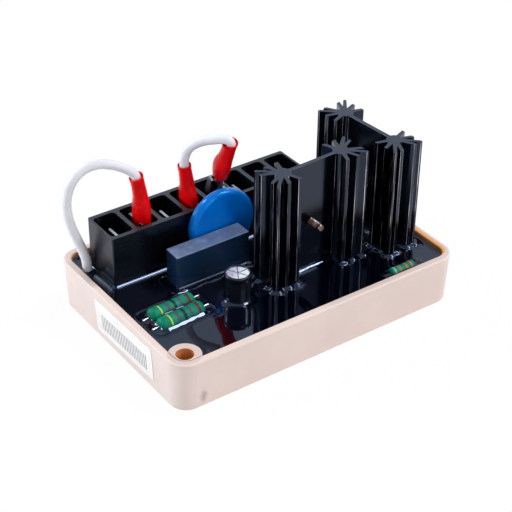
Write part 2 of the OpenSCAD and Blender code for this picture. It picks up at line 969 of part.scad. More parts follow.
module jumper_wire() {
  color("#eeeef2") tube(jumper_route, wire_diameter / 2);
}

tray();
circuit_board();
potting();
terminal_housing();
for (i = [1:well_count])
  spade_tab(i);
heatsink_front();
heatsink_rear();
sink_pins();
thyristor_case();
thyristor_frame();
diode_case();
diode_frame();
screw_front();
screw_rear();
film_capacitor();
film_capacitor_leads();
varistor();
varistor_leads();
electrolytic_can();
electrolytic_sleeve();
electrolytic_leads();
for (n = [1:3]) {
  resistor(n);
  resistor_leads(n);
}
control_chip();
sensing_resistors();
timing_capacitors();
signal_diodes();
receptacle_1();
receptacle_2();
receptacle_3();
sleeve_1();
sleeve_2();
sleeve_3();
lead_wire();
jumper_wire();
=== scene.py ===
import math

import bmesh
import bpy
import numpy as np
from mathutils import Matrix, Vector


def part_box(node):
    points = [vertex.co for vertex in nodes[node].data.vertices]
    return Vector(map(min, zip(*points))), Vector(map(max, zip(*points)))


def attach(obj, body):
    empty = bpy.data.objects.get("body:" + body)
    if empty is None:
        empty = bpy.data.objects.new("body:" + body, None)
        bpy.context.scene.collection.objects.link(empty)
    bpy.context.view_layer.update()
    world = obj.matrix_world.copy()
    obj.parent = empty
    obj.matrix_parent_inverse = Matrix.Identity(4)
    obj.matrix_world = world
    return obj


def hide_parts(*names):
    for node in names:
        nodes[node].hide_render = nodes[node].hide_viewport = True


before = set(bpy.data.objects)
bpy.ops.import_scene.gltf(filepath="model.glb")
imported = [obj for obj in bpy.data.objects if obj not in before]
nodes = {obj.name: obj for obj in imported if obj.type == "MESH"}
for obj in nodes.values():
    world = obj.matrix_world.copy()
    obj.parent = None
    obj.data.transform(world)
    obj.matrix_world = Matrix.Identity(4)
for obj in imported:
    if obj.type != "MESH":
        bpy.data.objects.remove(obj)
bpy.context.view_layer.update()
bpy.context.scene.view_settings.view_transform = "Standard"

# Lengths are in millimetres unless a comment says metres.
MM = 0.001
BODY = "root"

# Camera, from the photograph's perspective: degrees, metres, and pixels of a 512 x 512 image
CAMERA_AZIMUTH = -35.637
CAMERA_ELEVATION = 34.148
CAMERA_ROLL = 0.685
CAMERA_DISTANCE = 0.41761
CAMERA_TARGET = Vector((-0.00422, -0.00496, 0.02))
FOCAL_PIXELS = 1413.2
IMAGE_PIXELS = 512
SENSOR_MM = 36.0

# Wires, in metres: the same routes as the solids
WIRE_DIAMETER = 0.0029
LEAD_ROUTE = [
    (-0.0454, 0.0236, 0.0146), (-0.0454, 0.0236, 0.0176), (-0.0462, 0.0238, 0.0215),
    (-0.0478, 0.0240, 0.0265), (-0.0494, 0.0240, 0.0315), (-0.0504, 0.0238, 0.0370),
    (-0.0503, 0.0234, 0.0420), (-0.0486, 0.0228, 0.0468), (-0.0454, 0.0220, 0.0500),
    (-0.0414, 0.0210, 0.0510), (-0.0376, 0.0200, 0.0502), (-0.0347, 0.0192, 0.0488),
    (-0.0324, 0.0186, 0.0472), (-0.0309, 0.0181, 0.0454), (-0.03027, 0.0180, 0.0428),
    (-0.03027, 0.0180, 0.0380),
]
JUMPER_ROUTE = [
    (-0.01283, 0.0180, 0.0380), (-0.01283, 0.0180, 0.0387), (-0.01385, 0.0182, 0.0419),
    (-0.0140, 0.0182, 0.0442), (-0.0136, 0.0179, 0.0468), (-0.0129, 0.0172, 0.0488),
    (-0.0115, 0.0158, 0.0506), (-0.0096, 0.0139, 0.0519), (-0.0076, 0.0119, 0.0526),
    (-0.0058, 0.0101, 0.0530), (-0.0047, 0.0090, 0.0528), (-0.0040, 0.0085, 0.0516),
    (-0.00411, 0.00959, 0.04917), (-0.00411, 0.01245, 0.0417),
]

# Connectors: the feet of two sleeves, and the third's tilted axis with its foot's place along it
FIRST_FOOT = (-30.27, 18.0, 28.4)
SECOND_FOOT = (-12.83, 18.0, 26.7)
THIRD_AXIS = (-4.11, 17.83, 27.7)
THIRD_TILT = math.radians(21)
THIRD_SLIDE = 9.6
THIRD_NOTCH = 1.2
SLEEVE_WALL = 0.4
RECEPTACLE_EDGE = 0.3

# Sleeve outlines, ring by ring: distance up, half x, half y, aside x, aside y, and lean in degrees
FIRST_SLEEVE = [
    (0.0, 2.0, 3.6, 0.7, -0.4, 0), (0.6, 2.15, 3.9, 0.7, -0.4, 0), (3.0, 2.3, 4.0, 0.75, -0.45, 0),
    (6.0, 2.35, 3.9, 0.8, -0.5, 0), (7.6, 2.3, 3.5, 0.8, -0.5, 0), (8.2, 2.15, 3.1, 0.75, -0.45, 0),
    (8.7, 2.35, 3.2, 0.75, -0.45, 0), (9.3, 2.1, 2.8, 0.7, -0.4, 0), (10.4, 2.15, 2.5, 0.6, -0.35, 0),
    (12.0, 2.1, 2.2, 0.45, -0.25, 6), (13.8, 2.05, 2.1, 0.2, -0.1, 12), (15.4, 2.1, 2.1, -0.05, 0.0, 18),
    (16.6, 2.3, 2.3, -0.3, 0.1, 20),
]
SECOND_SLEEVE = [
    (0.0, 1.8, 3.5, 0, 0, 0), (0.6, 1.95, 3.8, 0, 0, 0), (2.7, 2.0, 4.1, 0, 0, 0),
    (5.7, 2.05, 4.3, -0.1, 0, 0), (7.4, 2.1, 4.0, -0.2, 0, 0), (8.6, 2.15, 3.3, -0.3, 0, 0),
    (9.2, 2.05, 2.9, -0.35, 0.05, 0), (10.6, 2.1, 2.5, -0.45, 0.05, 2), (12.5, 2.05, 2.15, -0.65, 0.1, 5),
    (14.6, 2.0, 2.05, -0.95, 0.15, 7), (15.8, 2.05, 2.1, -1.1, 0.2, 7), (16.6, 2.15, 2.2, -1.15, 0.2, 7),
]
THIRD_SLEEVE = [
    (1.2, 1.7, 1.7, -0.2, 0, 0), (1.6, 1.9, 2.2, -0.3, 0, 0), (2.6, 2.1, 2.8, -0.5, 0, 0),
    (5.5, 2.3, 3.4, -0.7, 0, 0), (7.6, 2.3, 3.2, -0.7, 0, 0), (8.8, 2.25, 3.0, -0.55, 0, 0),
    (9.6, 2.15, 2.6, -0.4, 0, 0), (11.0, 2.15, 2.45, -0.2, 0, 0), (13.0, 2.05, 2.15, 0, 0, 0),
    (15.0, 2.05, 2.1, 0, 0, 0), (16.0, 2.2, 2.2, 0, 0, 0), (16.8, 2.35, 2.35, 0.05, 0, 0),
]

# Tray: its walls lean in towards the floor by WALL_LEAN over WALL_HEIGHT
TRAY_HALF_LENGTH = 50.0
WALL_LEAN = 0.6
WALL_HEIGHT = 15.1
WALL_TOP = 15.9
CAVITY_HALF = (47.9, 31.9)
CAVITY_CORNER = 3.6
MOUNT_PLACES = [(-44.5, -28.5), (44.5, 28.5)]
BOSS_RADIUS = 4.75
BORE_RADIUS = 2.65
BOSS_FACE_LOW = 15.5
BOSS_FACE_MARGIN = 0.1

# Painted orange-brown shade inside the tray, for shade and bounced light: half its reach into the far walls,
# its lowest and highest level, how much higher it goes at the right-hand walls, and the lighter strip's width
# along the walls
WARM_EDGE = 0.5
WARM_LOW = 1.0
WARM_TOP = 16.2
WARM_RIGHT_RISE = 0.3
WARM_STRIP = 0.7

# Scuff on the front wall: its middle, and its shape as the weight of each direction
SCUFF_PLACE = (-41.8, -33.6, 3.7)
SCUFF_WEIGHTS = (1.0, 1.0, 0.45)
SCUFF_RAGGED = 2.6
SCUFF_OUTER = 3.0
SCUFF_INNER = 1.3

# Paper label on the left wall: middle along y and z, size, turn in degrees, and its row of plain bars
LABEL_CENTRE = (-4.27, 8.57)
LABEL_SIZE = (31.2, 11.1)
LABEL_TURN = -1.7
LABEL_THICKNESS = 0.12
LABEL_CORNER = 0.7
LABEL_STANDOFF = 0.07
BAR_PITCH = 0.95
BAR_SHARE = 0.42
BAR_ROW_HALF = (12.5, 2.6)
BAR_ROW_DROP = 1.0

# Compound: its level, the grid it is drawn on, its skin's depth, and how deep hidden faces lie in a part
POOL_LEVEL = 14.6
POOL_CELL = 0.27
POOL_SKIN = 1.2
BURIED = 0.5

# How high the compound climbs at what stands in it, and how far out
CLIMB = {
    "wall": (0.35, 0.5), "boss": (0.3, 0.5), "terminal_housing": (0.7, 0.8), "film_capacitor": (0.4, 0.6),
    "resistor": (0.4, 0.5), "electrolytic_sleeve": (0.75, 0.8), "sink": (0.7, 0.9), "wire": (0.4, 0.5),
}
BOX_CORNER = 0.5

# Straight fillets of compound: width, slope and softness
RESISTOR_FILLET = 1.35
SINK_FILLET = 1.8
SINK_FILLET_TOP = 0.85
SINK_SLOPE = 0.84
FILLET_SLOPE = 0.54
FILLET_SOFTNESS = 0.1

# Beads of compound: distance from the part, height and width
FILM_BEAD = (1.9, 0.3, 0.4)
PAIR_BEAD = (2.0, 0.2, 0.3)

# Strip of compound between the two long resistors
STRIP_HALF_LENGTH = 6.0
STRIP_HALF_WIDTH = 0.8
STRIP_HEIGHT = 1.2
STRIP_END_SOFTNESS = 0.4

# Heat sinks: the plan of one, its edges' rounding, and how far each stands turned, in degrees
STAR_HALF_PITCH = 10.7
FIN_ANGLES = [25, 43, 70, 109]
FIN_REACH = 6.0
FIN_HALF_DEPTH = 5.6
FIN_HALF_THICKNESS = 0.55
WEB_HALF_THICKNESS = 0.65
SINK_EDGE = 0.16
SINK_TURNS = {"heatsink_front": 2.4, "heatsink_rear": -85.2}

# Banded resistors: half length, turn in degrees, and the radius that the compound wets; then their leads
RESISTORS = {"resistor_1": (7.5, 4.0, 2.4), "resistor_2": (7.5, 4.0, 2.4), "resistor_3": (4.6, 0.0, 1.75)}
LONG_PAIR = ("resistor_1", "resistor_2")
LEAD_REACH = 2.2
LEAD_WET_RADIUS = 0.4

HOUSING_EDGE = 0.22
SCORE_ANGLES = (0, 60, 120)
SCORE_HALF_WIDTH = 0.14


# Modelling tools

def deselect_all():
    if bpy.context.object and bpy.context.object.mode != "OBJECT":
        bpy.ops.object.mode_set(mode="OBJECT")
    bpy.ops.object.select_all(action="DESELECT")


def only(piece):
    deselect_all()
    piece.select_set(True)
    bpy.context.view_layer.objects.active = piece


def begin(add_primitive, name, **settings):
    """A new primitive as the only selected object, under its piece's name."""
    deselect_all()
    add_primitive(**settings)
    piece = bpy.context.object
    piece.name = name
    piece.data.name = name
    return piece


def freeze(piece):
    """Puts the piece's place, turn and size into its mesh."""
    only(piece)
    bpy.ops.object.transform_apply(location=True, rotation=True, scale=True)


def edit(piece, kind, action="DESELECT"):
    only(piece)
    bpy.ops.object.mode_set(mode="EDIT")
    bpy.ops.mesh.select_mode(type=kind)
    bpy.ops.mesh.select_all(action=action)
    return bmesh.from_edit_mesh(piece.data)


def pick(piece, kind, wanted):
    """Selects the faces, edges or points of a piece that pass a test."""
    mesh = edit(piece, kind)
    for part in {"FACE": mesh.faces, "EDGE": mesh.edges, "VERT": mesh.verts}[kind]:
        part.select_set(wanted(part))
    bmesh.update_edit_mesh(piece.data)


def extrude(step):
    bpy.ops.mesh.extrude_region_move(TRANSFORM_OT_translate={"value": step})


def apply_modifier(piece, kind, **settings):
    only(piece)
    modifier = piece.modifiers.new(kind.lower(), kind)
    for name, value in settings.items():
        setattr(modifier, name, value)
    bpy.ops.object.modifier_apply(modifier=modifier.name)


def round_edges(piece, width, segments, angle):
    """Rounds the edges that are sharper than an angle, in degrees; the width is in metres."""
    apply_modifier(piece, "BEVEL", width=width, segments=segments, limit_method="ANGLE",
                   angle_limit=math.radians(angle))


def merge_and_turn_out(piece, distance=1e-6):
    edit(piece, "VERT", "SELECT")
    bpy.ops.mesh.remove_doubles(threshold=distance)
    bpy.ops.mesh.normals_make_consistent(inside=False)
    bpy.ops.object.mode_set(mode="OBJECT")


def dress(piece, finish, stands_for=(), smooth=35.0, flat_faces=False):
    """Freezes the piece's place, gives it its finish and hangs it on the object."""
    freeze(piece)
    bpy.ops.object.shade_smooth_by_angle(angle=math.radians(smooth))
    if flat_faces:
        apply_modifier(piece, "WEIGHTED_NORMAL", keep_sharp=True)
    piece.data.materials.clear()
    piece.data.materials.append(finish)
    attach(piece, BODY)
    if stands_for:
        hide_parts(*stands_for)
    return piece


def profile_line(name, points):
    """A polyline drawn by extruding one corner of a plane from point to point, in metres."""
    start = Vector(points[0])
    middle = start + Vector((MM / 2, MM / 2, 0))
    piece = begin(bpy.ops.mesh.primitive_plane_add, name, size=MM, location=middle)
    freeze(piece)
    pick(piece, "VERT", lambda corner: (corner.co - start).length > MM / 2)
    bpy.ops.mesh.delete(type="VERT")
    bpy.ops.mesh.select_all(action="SELECT")
    for before, after in zip(points, points[1:]):
        extrude(Vector(after) - Vector(before))
    return piece


def turned(name, profile, centre, along, out, steps):
    """A lathe-turned piece: a profile of (distance along, radius) about an axis."""
    along, out, centre = Vector(along), Vector(out), Vector(centre)
    points = [tuple(centre + along * (a * MM) + out * (r * MM)) for a, r in profile]
    piece = profile_line(name, points)
    bpy.ops.mesh.select_all(action="SELECT")
    bpy.ops.mesh.spin(steps=steps, angle=math.tau, center=centre, axis=along)
    merge_and_turn_out(piece)
    return piece


def softened(node, name, edge, segments=2):
    """A CAD solid's shape with its flat faces made whole and its sharp edges rounded."""
    merge_distance, flat_angle, sharp_angle = 2e-6, 0.8, 32.0
    piece = bpy.data.objects.new(name, nodes[node].data.copy())
    bpy.context.scene.collection.objects.link(piece)
    edit(piece, "VERT", "SELECT")
    bpy.ops.mesh.remove_doubles(threshold=merge_distance)
    bpy.ops.mesh.dissolve_limited(angle_limit=math.radians(flat_angle))
    round_edges(piece, edge * MM, segments, sharp_angle)
    return piece


# Shader tools

COLOR, VALUE, VECTOR = "NodeSocketColor", "NodeSocketFloat", "NodeSocketVector"
MEASURES = ("LENGTH", "DISTANCE", "DOT_PRODUCT")
WHITE, GREY_DUST = (1.0, 1.0, 1.0, 1.0), (0.5, 0.48, 0.45, 1.0)


def set_or_link(tree, socket, value):
    if isinstance(value, bpy.types.NodeSocket):
        tree.links.new(value, socket)
    else:
        socket.default_value = value


def add_node(tree, kind, values=None, **settings):
    node = tree.nodes.new(kind)
    for name, value in settings.items():
        setattr(node, name, value)
    for socket, value in (values or {}).items():
        set_or_link(tree, node.inputs[socket], value)
    return node


def object_point(tree):
    return add_node(tree, "ShaderNodeTexCoord").outputs["Object"]


def parts_of(tree, vector):
    return add_node(tree, "ShaderNodeSeparateXYZ", {0: vector}).outputs


def math_node(tree, operation, first, second=0.0, third=0.0):
    return add_node(tree, "ShaderNodeMath", {0: first, 1: second, 2: third}, operation=operation).outputs[0]


def times(tree, first, second):
    return math_node(tree, "MULTIPLY", first, second)


def below(tree, value, limit):
    return math_node(tree, "LESS_THAN", value, limit)


def above(tree, value, limit):
    return math_node(tree, "GREATER_THAN", value, limit)


def vector_node(tree, operation, first, second=(0.0, 0.0, 0.0)):
    node = add_node(tree, "ShaderNodeVectorMath", {0: first, 1: second}, operation=operation)
    return node.outputs["Value" if operation in MEASURES else "Vector"]


def mixed(tree, amount, first, second):
    node = add_node(tree, "ShaderNodeMix", data_type="RGBA")
    for number, value in ((0, amount), (6, first), (7, second)):
        set_or_link(tree, node.inputs[number], value)
    return node.outputs[2]


def speckle(tree, size, detail=3.0, point=None):
    values = {"Vector": point or object_point(tree), "Scale": size, "Detail": detail, "Roughness": 0.6}
    return add_node(tree, "ShaderNodeTexNoise", values).outputs["Fac"]


def ramped(tree, value, low, high, to_low=0.0, to_high=1.0):
    values = {"Value": value, "From Min": low, "From Max": high, "To Min": to_low, "To Max": to_high}
    return add_node(tree, "ShaderNodeMapRange", values, interpolation_type="SMOOTHSTEP").outputs["Result"]


# Shared shader groups

def new_group(name, inputs, outputs):
    """An empty group with its inputs by name and default, and its outputs by name and kind."""
    group = bpy.data.node_groups.new(name, "ShaderNodeTree")
    for socket, value in inputs.items():
        kind = VALUE if isinstance(value, float) else COLOR if len(value) == 4 else VECTOR
        made = group.interface.new_socket(socket, in_out="INPUT", socket_type=kind)
        made.default_value = value
    for socket, kind in outputs.items():
        group.interface.new_socket(socket, in_out="OUTPUT", socket_type=kind)
    return group, group.nodes.new("NodeGroupInput").outputs, group.nodes.new("NodeGroupOutput").inputs


def cloudy_tone_group():
    """Two tones drifting into each other, with a roughness and a fine grain height to go with them."""
    group, given, result = new_group(
        "cloudy_tone",
        {"Tone": WHITE, "Second Tone": WHITE, "Cloud Scale": 60.0, "Grain Scale": 3000.0, "Smooth": 0.3,
         "Rough": 0.5},
        {"Color": COLOR, "Roughness": VALUE, "Height": VALUE},
    )
    cloud = ramped(group, speckle(group, given["Cloud Scale"], 4.0), 0.32, 0.68)
    grain = speckle(group, given["Grain Scale"], 2.0)
    spread = math_node(group, "SUBTRACT", given["Rough"], given["Smooth"])
    share = math_node(group, "MULTIPLY_ADD", cloud, 0.6, times(group, grain, 0.4))
    rough = math_node(group, "MULTIPLY_ADD", share, spread, given["Smooth"])
    group.links.new(mixed(group, cloud, given["Tone"], given["Second Tone"]), result["Color"])
    group.links.new(rough, result["Roughness"])
    group.links.new(grain, result["Height"])
    return group


def drawn_lines_group():
    """Fine lines along one direction, as extruding, drawing or turning leaves them; some finishes use their
    mask for painted highlights and shade.
    """
    group, given, result = new_group(
        "drawn_lines", {"Stretch": (1.0, 1.0, 1.0), "Line Scale": 1500.0}, {"Height": VALUE, "Mask": VALUE},
    )
    stretched = vector_node(group, "MULTIPLY", object_point(group), given["Stretch"])
    lines = speckle(group, given["Line Scale"], 2.0, stretched)
    group.links.new(lines, result["Height"])
    group.links.new(ramped(group, lines, 0.45, 0.7), result["Mask"])
    return group


def dust_and_sheen_group():
    """A thin uneven film on faces that look up: dust in a grey tone, a painted sheen in a bluish tone."""
    group, given, result = new_group(
        "dust_and_sheen",
        {"Color": WHITE, "Roughness": 0.4, "Dust Color": GREY_DUST, "Amount": 0.1},
        {"Color": COLOR, "Roughness": VALUE},
    )
    normal = add_node(group, "ShaderNodeNewGeometry").outputs["Normal"]
    up = ramped(group, parts_of(group, normal)["Z"], 0.4, 0.95)
    patches = ramped(group, speckle(group, 420.0, 5.0), 0.42, 0.75)
    mask = times(group, up, math_node(group, "MULTIPLY_ADD", patches, 0.4, 0.6))
    mask = times(group, mask, given["Amount"])
    rough = math_node(group, "ADD", given["Roughness"], times(group, mask, 0.5))
    group.links.new(mixed(group, mask, given["Color"], given["Dust Color"]), result["Color"])
    group.links.new(rough, result["Roughness"])
    return group


def painted_band_group():
    """One painted ring: the paint covers a stretch along a direction, with a slightly uneven edge."""
    group, given, result = new_group(
        "painted_band",
        {"Color": WHITE, "Band Color": WHITE, "Place": 0.0, "Half Width": 0.0, "Direction": (1.0, 0.0, 0.0)},
        {"Color": COLOR, "Mask": VALUE},
    )
    along = vector_node(group, "DOT_PRODUCT", object_point(group), given["Direction"])
    wander = math_node(group, "MULTIPLY_ADD", speckle(group, 500.0), 0.0003, -0.00015)
    off = math_node(group, "SUBTRACT", math_node(group, "ADD", along, wander), given["Place"])
    mask = below(group, math_node(group, "ABSOLUTE", off), given["Half Width"])
    group.links.new(mixed(group, mask, given["Color"], given["Band Color"]), result["Color"])
    group.links.new(mask, result["Mask"])
    return group


CLOUDY_TONE = cloudy_tone_group()
DRAWN_LINES = drawn_lines_group()
DUST_AND_SHEEN = dust_and_sheen_group()
PAINTED_BAND = painted_band_group()


# Finishes

BLUISH = (0.6, 0.7, 1.0, 1.0)
HIGHLIGHT_EDGES = "highlight_edges"


def tone(red, green, blue):
    """A colour as it looks on screen, 0 to 255, as the linear colour that a shader takes."""
    def linear(v):
        v /= 255.0
        return v / 12.92 if v <= 0.04045 else ((v + 0.055) / 1.055) ** 2.4
    return (linear(red), linear(green), linear(blue), 1.0)


def new_finish(name, **constants):
    finish = bpy.data.materials.new(name)
    finish.use_nodes = True
    shader = finish.node_tree.nodes["Principled BSDF"]
    for socket, value in constants.items():
        shader.inputs[socket.replace("_", " ")].default_value = value
    return finish, finish.node_tree, shader


def use_group(tree, group, **values):
    node = add_node(tree, "ShaderNodeGroup")
    node.node_tree = group
    for socket, value in values.items():
        set_or_link(tree, node.inputs[socket.replace("_", " ")], value)
    return node.outputs


def clouded(tree, first, second, cloud_scale, smooth, rough):
    return use_group(tree, CLOUDY_TONE, Tone=first, Second_Tone=second, Cloud_Scale=cloud_scale,
                     Smooth=smooth, Rough=rough)


def lay_on(tree, shader, color, roughness, height, depth):
    """Gives a shader its colour, its roughness and a relief of a depth in metres."""
    tree.links.new(color, shader.inputs["Base Color"])
    tree.links.new(roughness, shader.inputs["Roughness"])
    bump = add_node(tree, "ShaderNodeBump", {"Height": height, "Distance": depth, "Strength": 1.0})
    tree.links.new(bump.outputs["Normal"], shader.inputs["Normal"])


def moulded(name, first, second, smooth, rough, grain=0.00004, cloud_scale=60.0, dust_and_sheen_amount=0.0,
            dust_and_sheen_tone=GREY_DUST, **constants):
    """Moulded or cast material: two close tones, fine grain and, where it lies open, a film that is dust in a
    grey tone and a painted sheen in a bluish one.
    """
    finish, tree, shader = new_finish(name, **constants)
    clouds = clouded(tree, first, second, cloud_scale, smooth, rough)
    color, roughness = clouds["Color"], clouds["Roughness"]
    if dust_and_sheen_amount:
        film = use_group(tree, DUST_AND_SHEEN, Color=color, Roughness=roughness, Amount=dust_and_sheen_amount,
                         Dust_Color=dust_and_sheen_tone)
        color, roughness = film["Color"], film["Roughness"]
    lay_on(tree, shader, color, roughness, clouds["Height"], grain)
    return finish


def drawn_metal(name, first, second, smooth, rough, stretch):
    """Metal with fine working lines along one direction; on the screws they are painted thread highlights and
    shade.
    """
    finish, tree, shader = new_finish(name, Metallic=1.0)
    clouds = clouded(tree, first, second, 220.0, smooth, rough)
    lines = use_group(tree, DRAWN_LINES, Stretch=stretch)
    color = mixed(tree, lines["Mask"], clouds["Color"], second)
    lay_on(tree, shader, color, clouds["Roughness"], lines["Height"], 0.00002)
    return finish


def scored_can(name, first, second, smooth, rough, stretch):
    """Drawn can metal with painted shade along the scored lines across its end."""
    finish = drawn_metal(name, first, second, smooth, rough, stretch)
    tree = finish.node_tree
    shader = tree.nodes["Principled BSDF"]
    color = shader.inputs["Base Color"].links[0].from_socket
    low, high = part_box("electrolytic_can")
    # Painted shade in the score grooves
    for angle in SCORE_ANGLES:
        across = Vector((-math.sin(math.radians(angle)), math.cos(math.radians(angle)), 0.0))
        color = use_group(tree, PAINTED_BAND, Color=color, Band_Color=tone(120, 122, 134), Direction=across,
                          Place=((low + high) / 2).dot(across), Half_Width=SCORE_HALF_WIDTH * MM)["Color"]
    tree.links.new(color, shader.inputs["Base Color"])
    return finish


def painted_cavity_shade(tree):
    """Masks for the painted shade: the tray's cavity, up to just under its rim, and the lighter strip of it
    along the walls.
    """
    point = object_point(tree)
    edge = WARM_EDGE * MM
    place = vector_node(tree, "ABSOLUTE", vector_node(tree, "SUBTRACT", point, (edge, edge, 0)))
    above_all = 1.0
    core = ((CAVITY_HALF[0] - CAVITY_CORNER) * MM, (CAVITY_HALF[1] - CAVITY_CORNER) * MM, above_all)
    past = vector_node(tree, "MAXIMUM", vector_node(tree, "SUBTRACT", place, core))
    away = vector_node(tree, "LENGTH", past)
    within = below(tree, away, (CAVITY_CORNER + WARM_EDGE) * MM)
    by_wall = above(tree, away, (CAVITY_CORNER - WARM_STRIP) * MM)
    parts = parts_of(tree, point)
    right_wall = times(tree, by_wall, above(tree, parts["X"], 0.0))
    top = math_node(tree, "MULTIPLY_ADD", right_wall, WARM_RIGHT_RISE * MM, WARM_TOP * MM)
    below_rim = below(tree, parts["Z"], top)
    above_floor = above(tree, parts["Z"], WARM_LOW * MM)
    deep = times(tree, below_rim, above_floor)
    return times(tree, within, deep), by_wall


def shaded_boss_faces(tree):
    """1 on the flat rings round the mounting holes, which get a painted shade."""
    parts = parts_of(tree, object_point(tree))
    plan = add_node(tree, "ShaderNodeCombineXYZ", {0: parts["X"], 1: parts["Y"]}).outputs["Vector"]
    ring = 0.0
    for x, y in MOUNT_PLACES:
        away = vector_node(tree, "DISTANCE", plan, (x * MM, y * MM, 0))
        near = below(tree, away, (BOSS_RADIUS + BOSS_FACE_MARGIN) * MM)
        clear = above(tree, away, (BORE_RADIUS + BOSS_FACE_MARGIN) * MM)
        ring = math_node(tree, "MULTIPLY_ADD", near, clear, ring)
    return times(tree, ring, above(tree, parts["Z"], BOSS_FACE_LOW * MM))


def scuffed(tree):
    """How much of the scuff shows at a place of the tray."""
    offset = vector_node(tree, "SUBTRACT", object_point(tree), [place * MM for place in SCUFF_PLACE])
    away = vector_node(tree, "LENGTH", vector_node(tree, "MULTIPLY", offset, SCUFF_WEIGHTS))
    ragged = math_node(tree, "MULTIPLY_ADD", speckle(tree, 700.0), SCUFF_RAGGED * MM, away)
    return times(tree, ramped(tree, ragged, SCUFF_OUTER * MM, SCUFF_INNER * MM), 0.6)


def tray_plastic():
    """Beige moulded plastic, with painted orange-brown shade inside the tray and its bores, painted shade on
    the boss faces, and a scuff on the front wall.
    """
    finish, tree, shader = new_finish(
        "tray_plastic", Subsurface_Weight=0.06, Subsurface_Radius=(1.0, 0.6, 0.4), Subsurface_Scale=0.0015,
    )
    clouds = clouded(tree, tone(226, 205, 197), tone(220, 199, 191), 45.0, 0.42, 0.55)
    inside, by_wall = painted_cavity_shade(tree)
    # Painted shade: orange-brown deep in the cavity, lighter along the walls
    painted_shade_tone = mixed(tree, by_wall, tone(200, 130, 76), tone(238, 168, 104))
    color = mixed(tree, inside, clouds["Color"], painted_shade_tone)
    # Painted shade on the boss faces
    color = mixed(tree, shaded_boss_faces(tree), color, tone(208, 186, 178))
    color = mixed(tree, scuffed(tree), color, tone(122, 112, 114))
    lay_on(tree, shader, color, clouds["Roughness"], clouds["Height"], 0.00003)
    return finish


def potting_compound():
    """Black cast resin: mirror smooth, with slow ripples and a few specks."""
    finish, tree, shader = new_finish("potting_compound", IOR=1.58, Specular_Tint=(0.5, 0.64, 1.0, 1.0))
    clouds = clouded(tree, tone(1, 2, 9), tone(2, 3, 12), 90.0, 0.02, 0.05)
    specks = ramped(tree, speckle(tree, 900.0, 1.0), 0.78, 0.8)
    color = mixed(tree, specks, clouds["Color"], tone(50, 50, 60))
    lay_on(tree, shader, color, clouds["Roughness"], speckle(tree, 110.0, 1.0), 0.00006)
    return finish


def sink_black():
    """Black anodised extrusion: faint die lines, a painted bluish sheen on the faces that look up, and
    painted highlights along upright edge rounds in places.
    """
    finish, tree, shader = new_finish("sink_black", IOR=1.58, Specular_Tint=(0.5, 0.65, 1.0, 1.0))
    clouds = clouded(tree, tone(1, 1, 4), tone(3, 3, 7), 120.0, 0.11, 0.19)
    lines = use_group(tree, DRAWN_LINES, Stretch=(1.0, 1.0, 0.03), Line_Scale=2200.0)
    # The bluish film on faces that look up is a painted sheen
    film = use_group(tree, DUST_AND_SHEEN, Color=clouds["Color"], Roughness=clouds["Roughness"], Amount=0.035,
                     Dust_Color=tone(150, 165, 205))
    # Narrow upright edge rounds turn to bright bare metal along the die lines: painted highlights
    edge_rounds = add_node(tree, "ShaderNodeAttribute", attribute_name=HIGHLIGHT_EDGES).outputs["Fac"]
    painted_edge_highlight = times(tree, edge_rounds, ramped(tree, lines["Height"], 0.42, 0.62))
    tree.links.new(painted_edge_highlight, shader.inputs["Metallic"])
    color = mixed(tree, painted_edge_highlight, film["Color"], tone(214, 208, 214))
    lay_on(tree, shader, color, film["Roughness"], lines["Height"], 0.000006)
    return finish


def banded_enamel(name, middle, half_length, direction, bands):
    """Green enamel with painted rings: each a share of the length, a colour and a width."""
    finish, tree, shader = new_finish(name, Specular_IOR_Level=0.12)
    clouds = clouded(tree, tone(0, 132, 102), tone(0, 112, 88), 300.0, 0.34, 0.5)
    color = clouds["Color"]
    for share, paint, width in bands:
        place = Vector(middle).dot(direction) + (2 * share - 1) * half_length * MM
        color = use_group(tree, PAINTED_BAND, Color=color, Band_Color=paint, Place=place,
                          Direction=direction, Half_Width=width * MM / 2)["Color"]
    lay_on(tree, shader, color, clouds["Roughness"], clouds["Height"], 0.00003)
    return finish


def label_paper():
    """White paper with an even row of plain grey bars."""
    finish, tree, shader = new_finish("label_paper")
    clouds = clouded(tree, tone(231, 223, 218), tone(237, 229, 224), 150.0, 0.45, 0.6)
    middle = (0.0, LABEL_CENTRE[0] * MM, LABEL_CENTRE[1] * MM)
    shifted = vector_node(tree, "SUBTRACT", object_point(tree), middle)
    straight = add_node(tree, "ShaderNodeVectorRotate",
                        {"Vector": shifted, "Angle": math.radians(-LABEL_TURN)}, rotation_type="X_AXIS")
    parts = parts_of(tree, straight.outputs["Vector"])
    beat = math_node(tree, "FRACT", math_node(tree, "DIVIDE", parts["Y"], BAR_PITCH * MM))
    bar = below(tree, beat, BAR_SHARE)
    along = math_node(tree, "ABSOLUTE", parts["Y"])
    within = below(tree, along, BAR_ROW_HALF[0] * MM)
    upright = math_node(tree, "ABSOLUTE", math_node(tree, "ADD", parts["Z"], BAR_ROW_DROP * MM))
    level = below(tree, upright, BAR_ROW_HALF[1] * MM)
    mask = times(tree, times(tree, bar, within), level)
    ink = times(tree, mask, ramped(tree, speckle(tree, 700.0), 0.2, 0.6, 0.6, 0.95))
    color = mixed(tree, ink, clouds["Color"], tone(96, 96, 108))
    lay_on(tree, shader, color, clouds["Roughness"], clouds["Height"], 0.00001)
    return finish


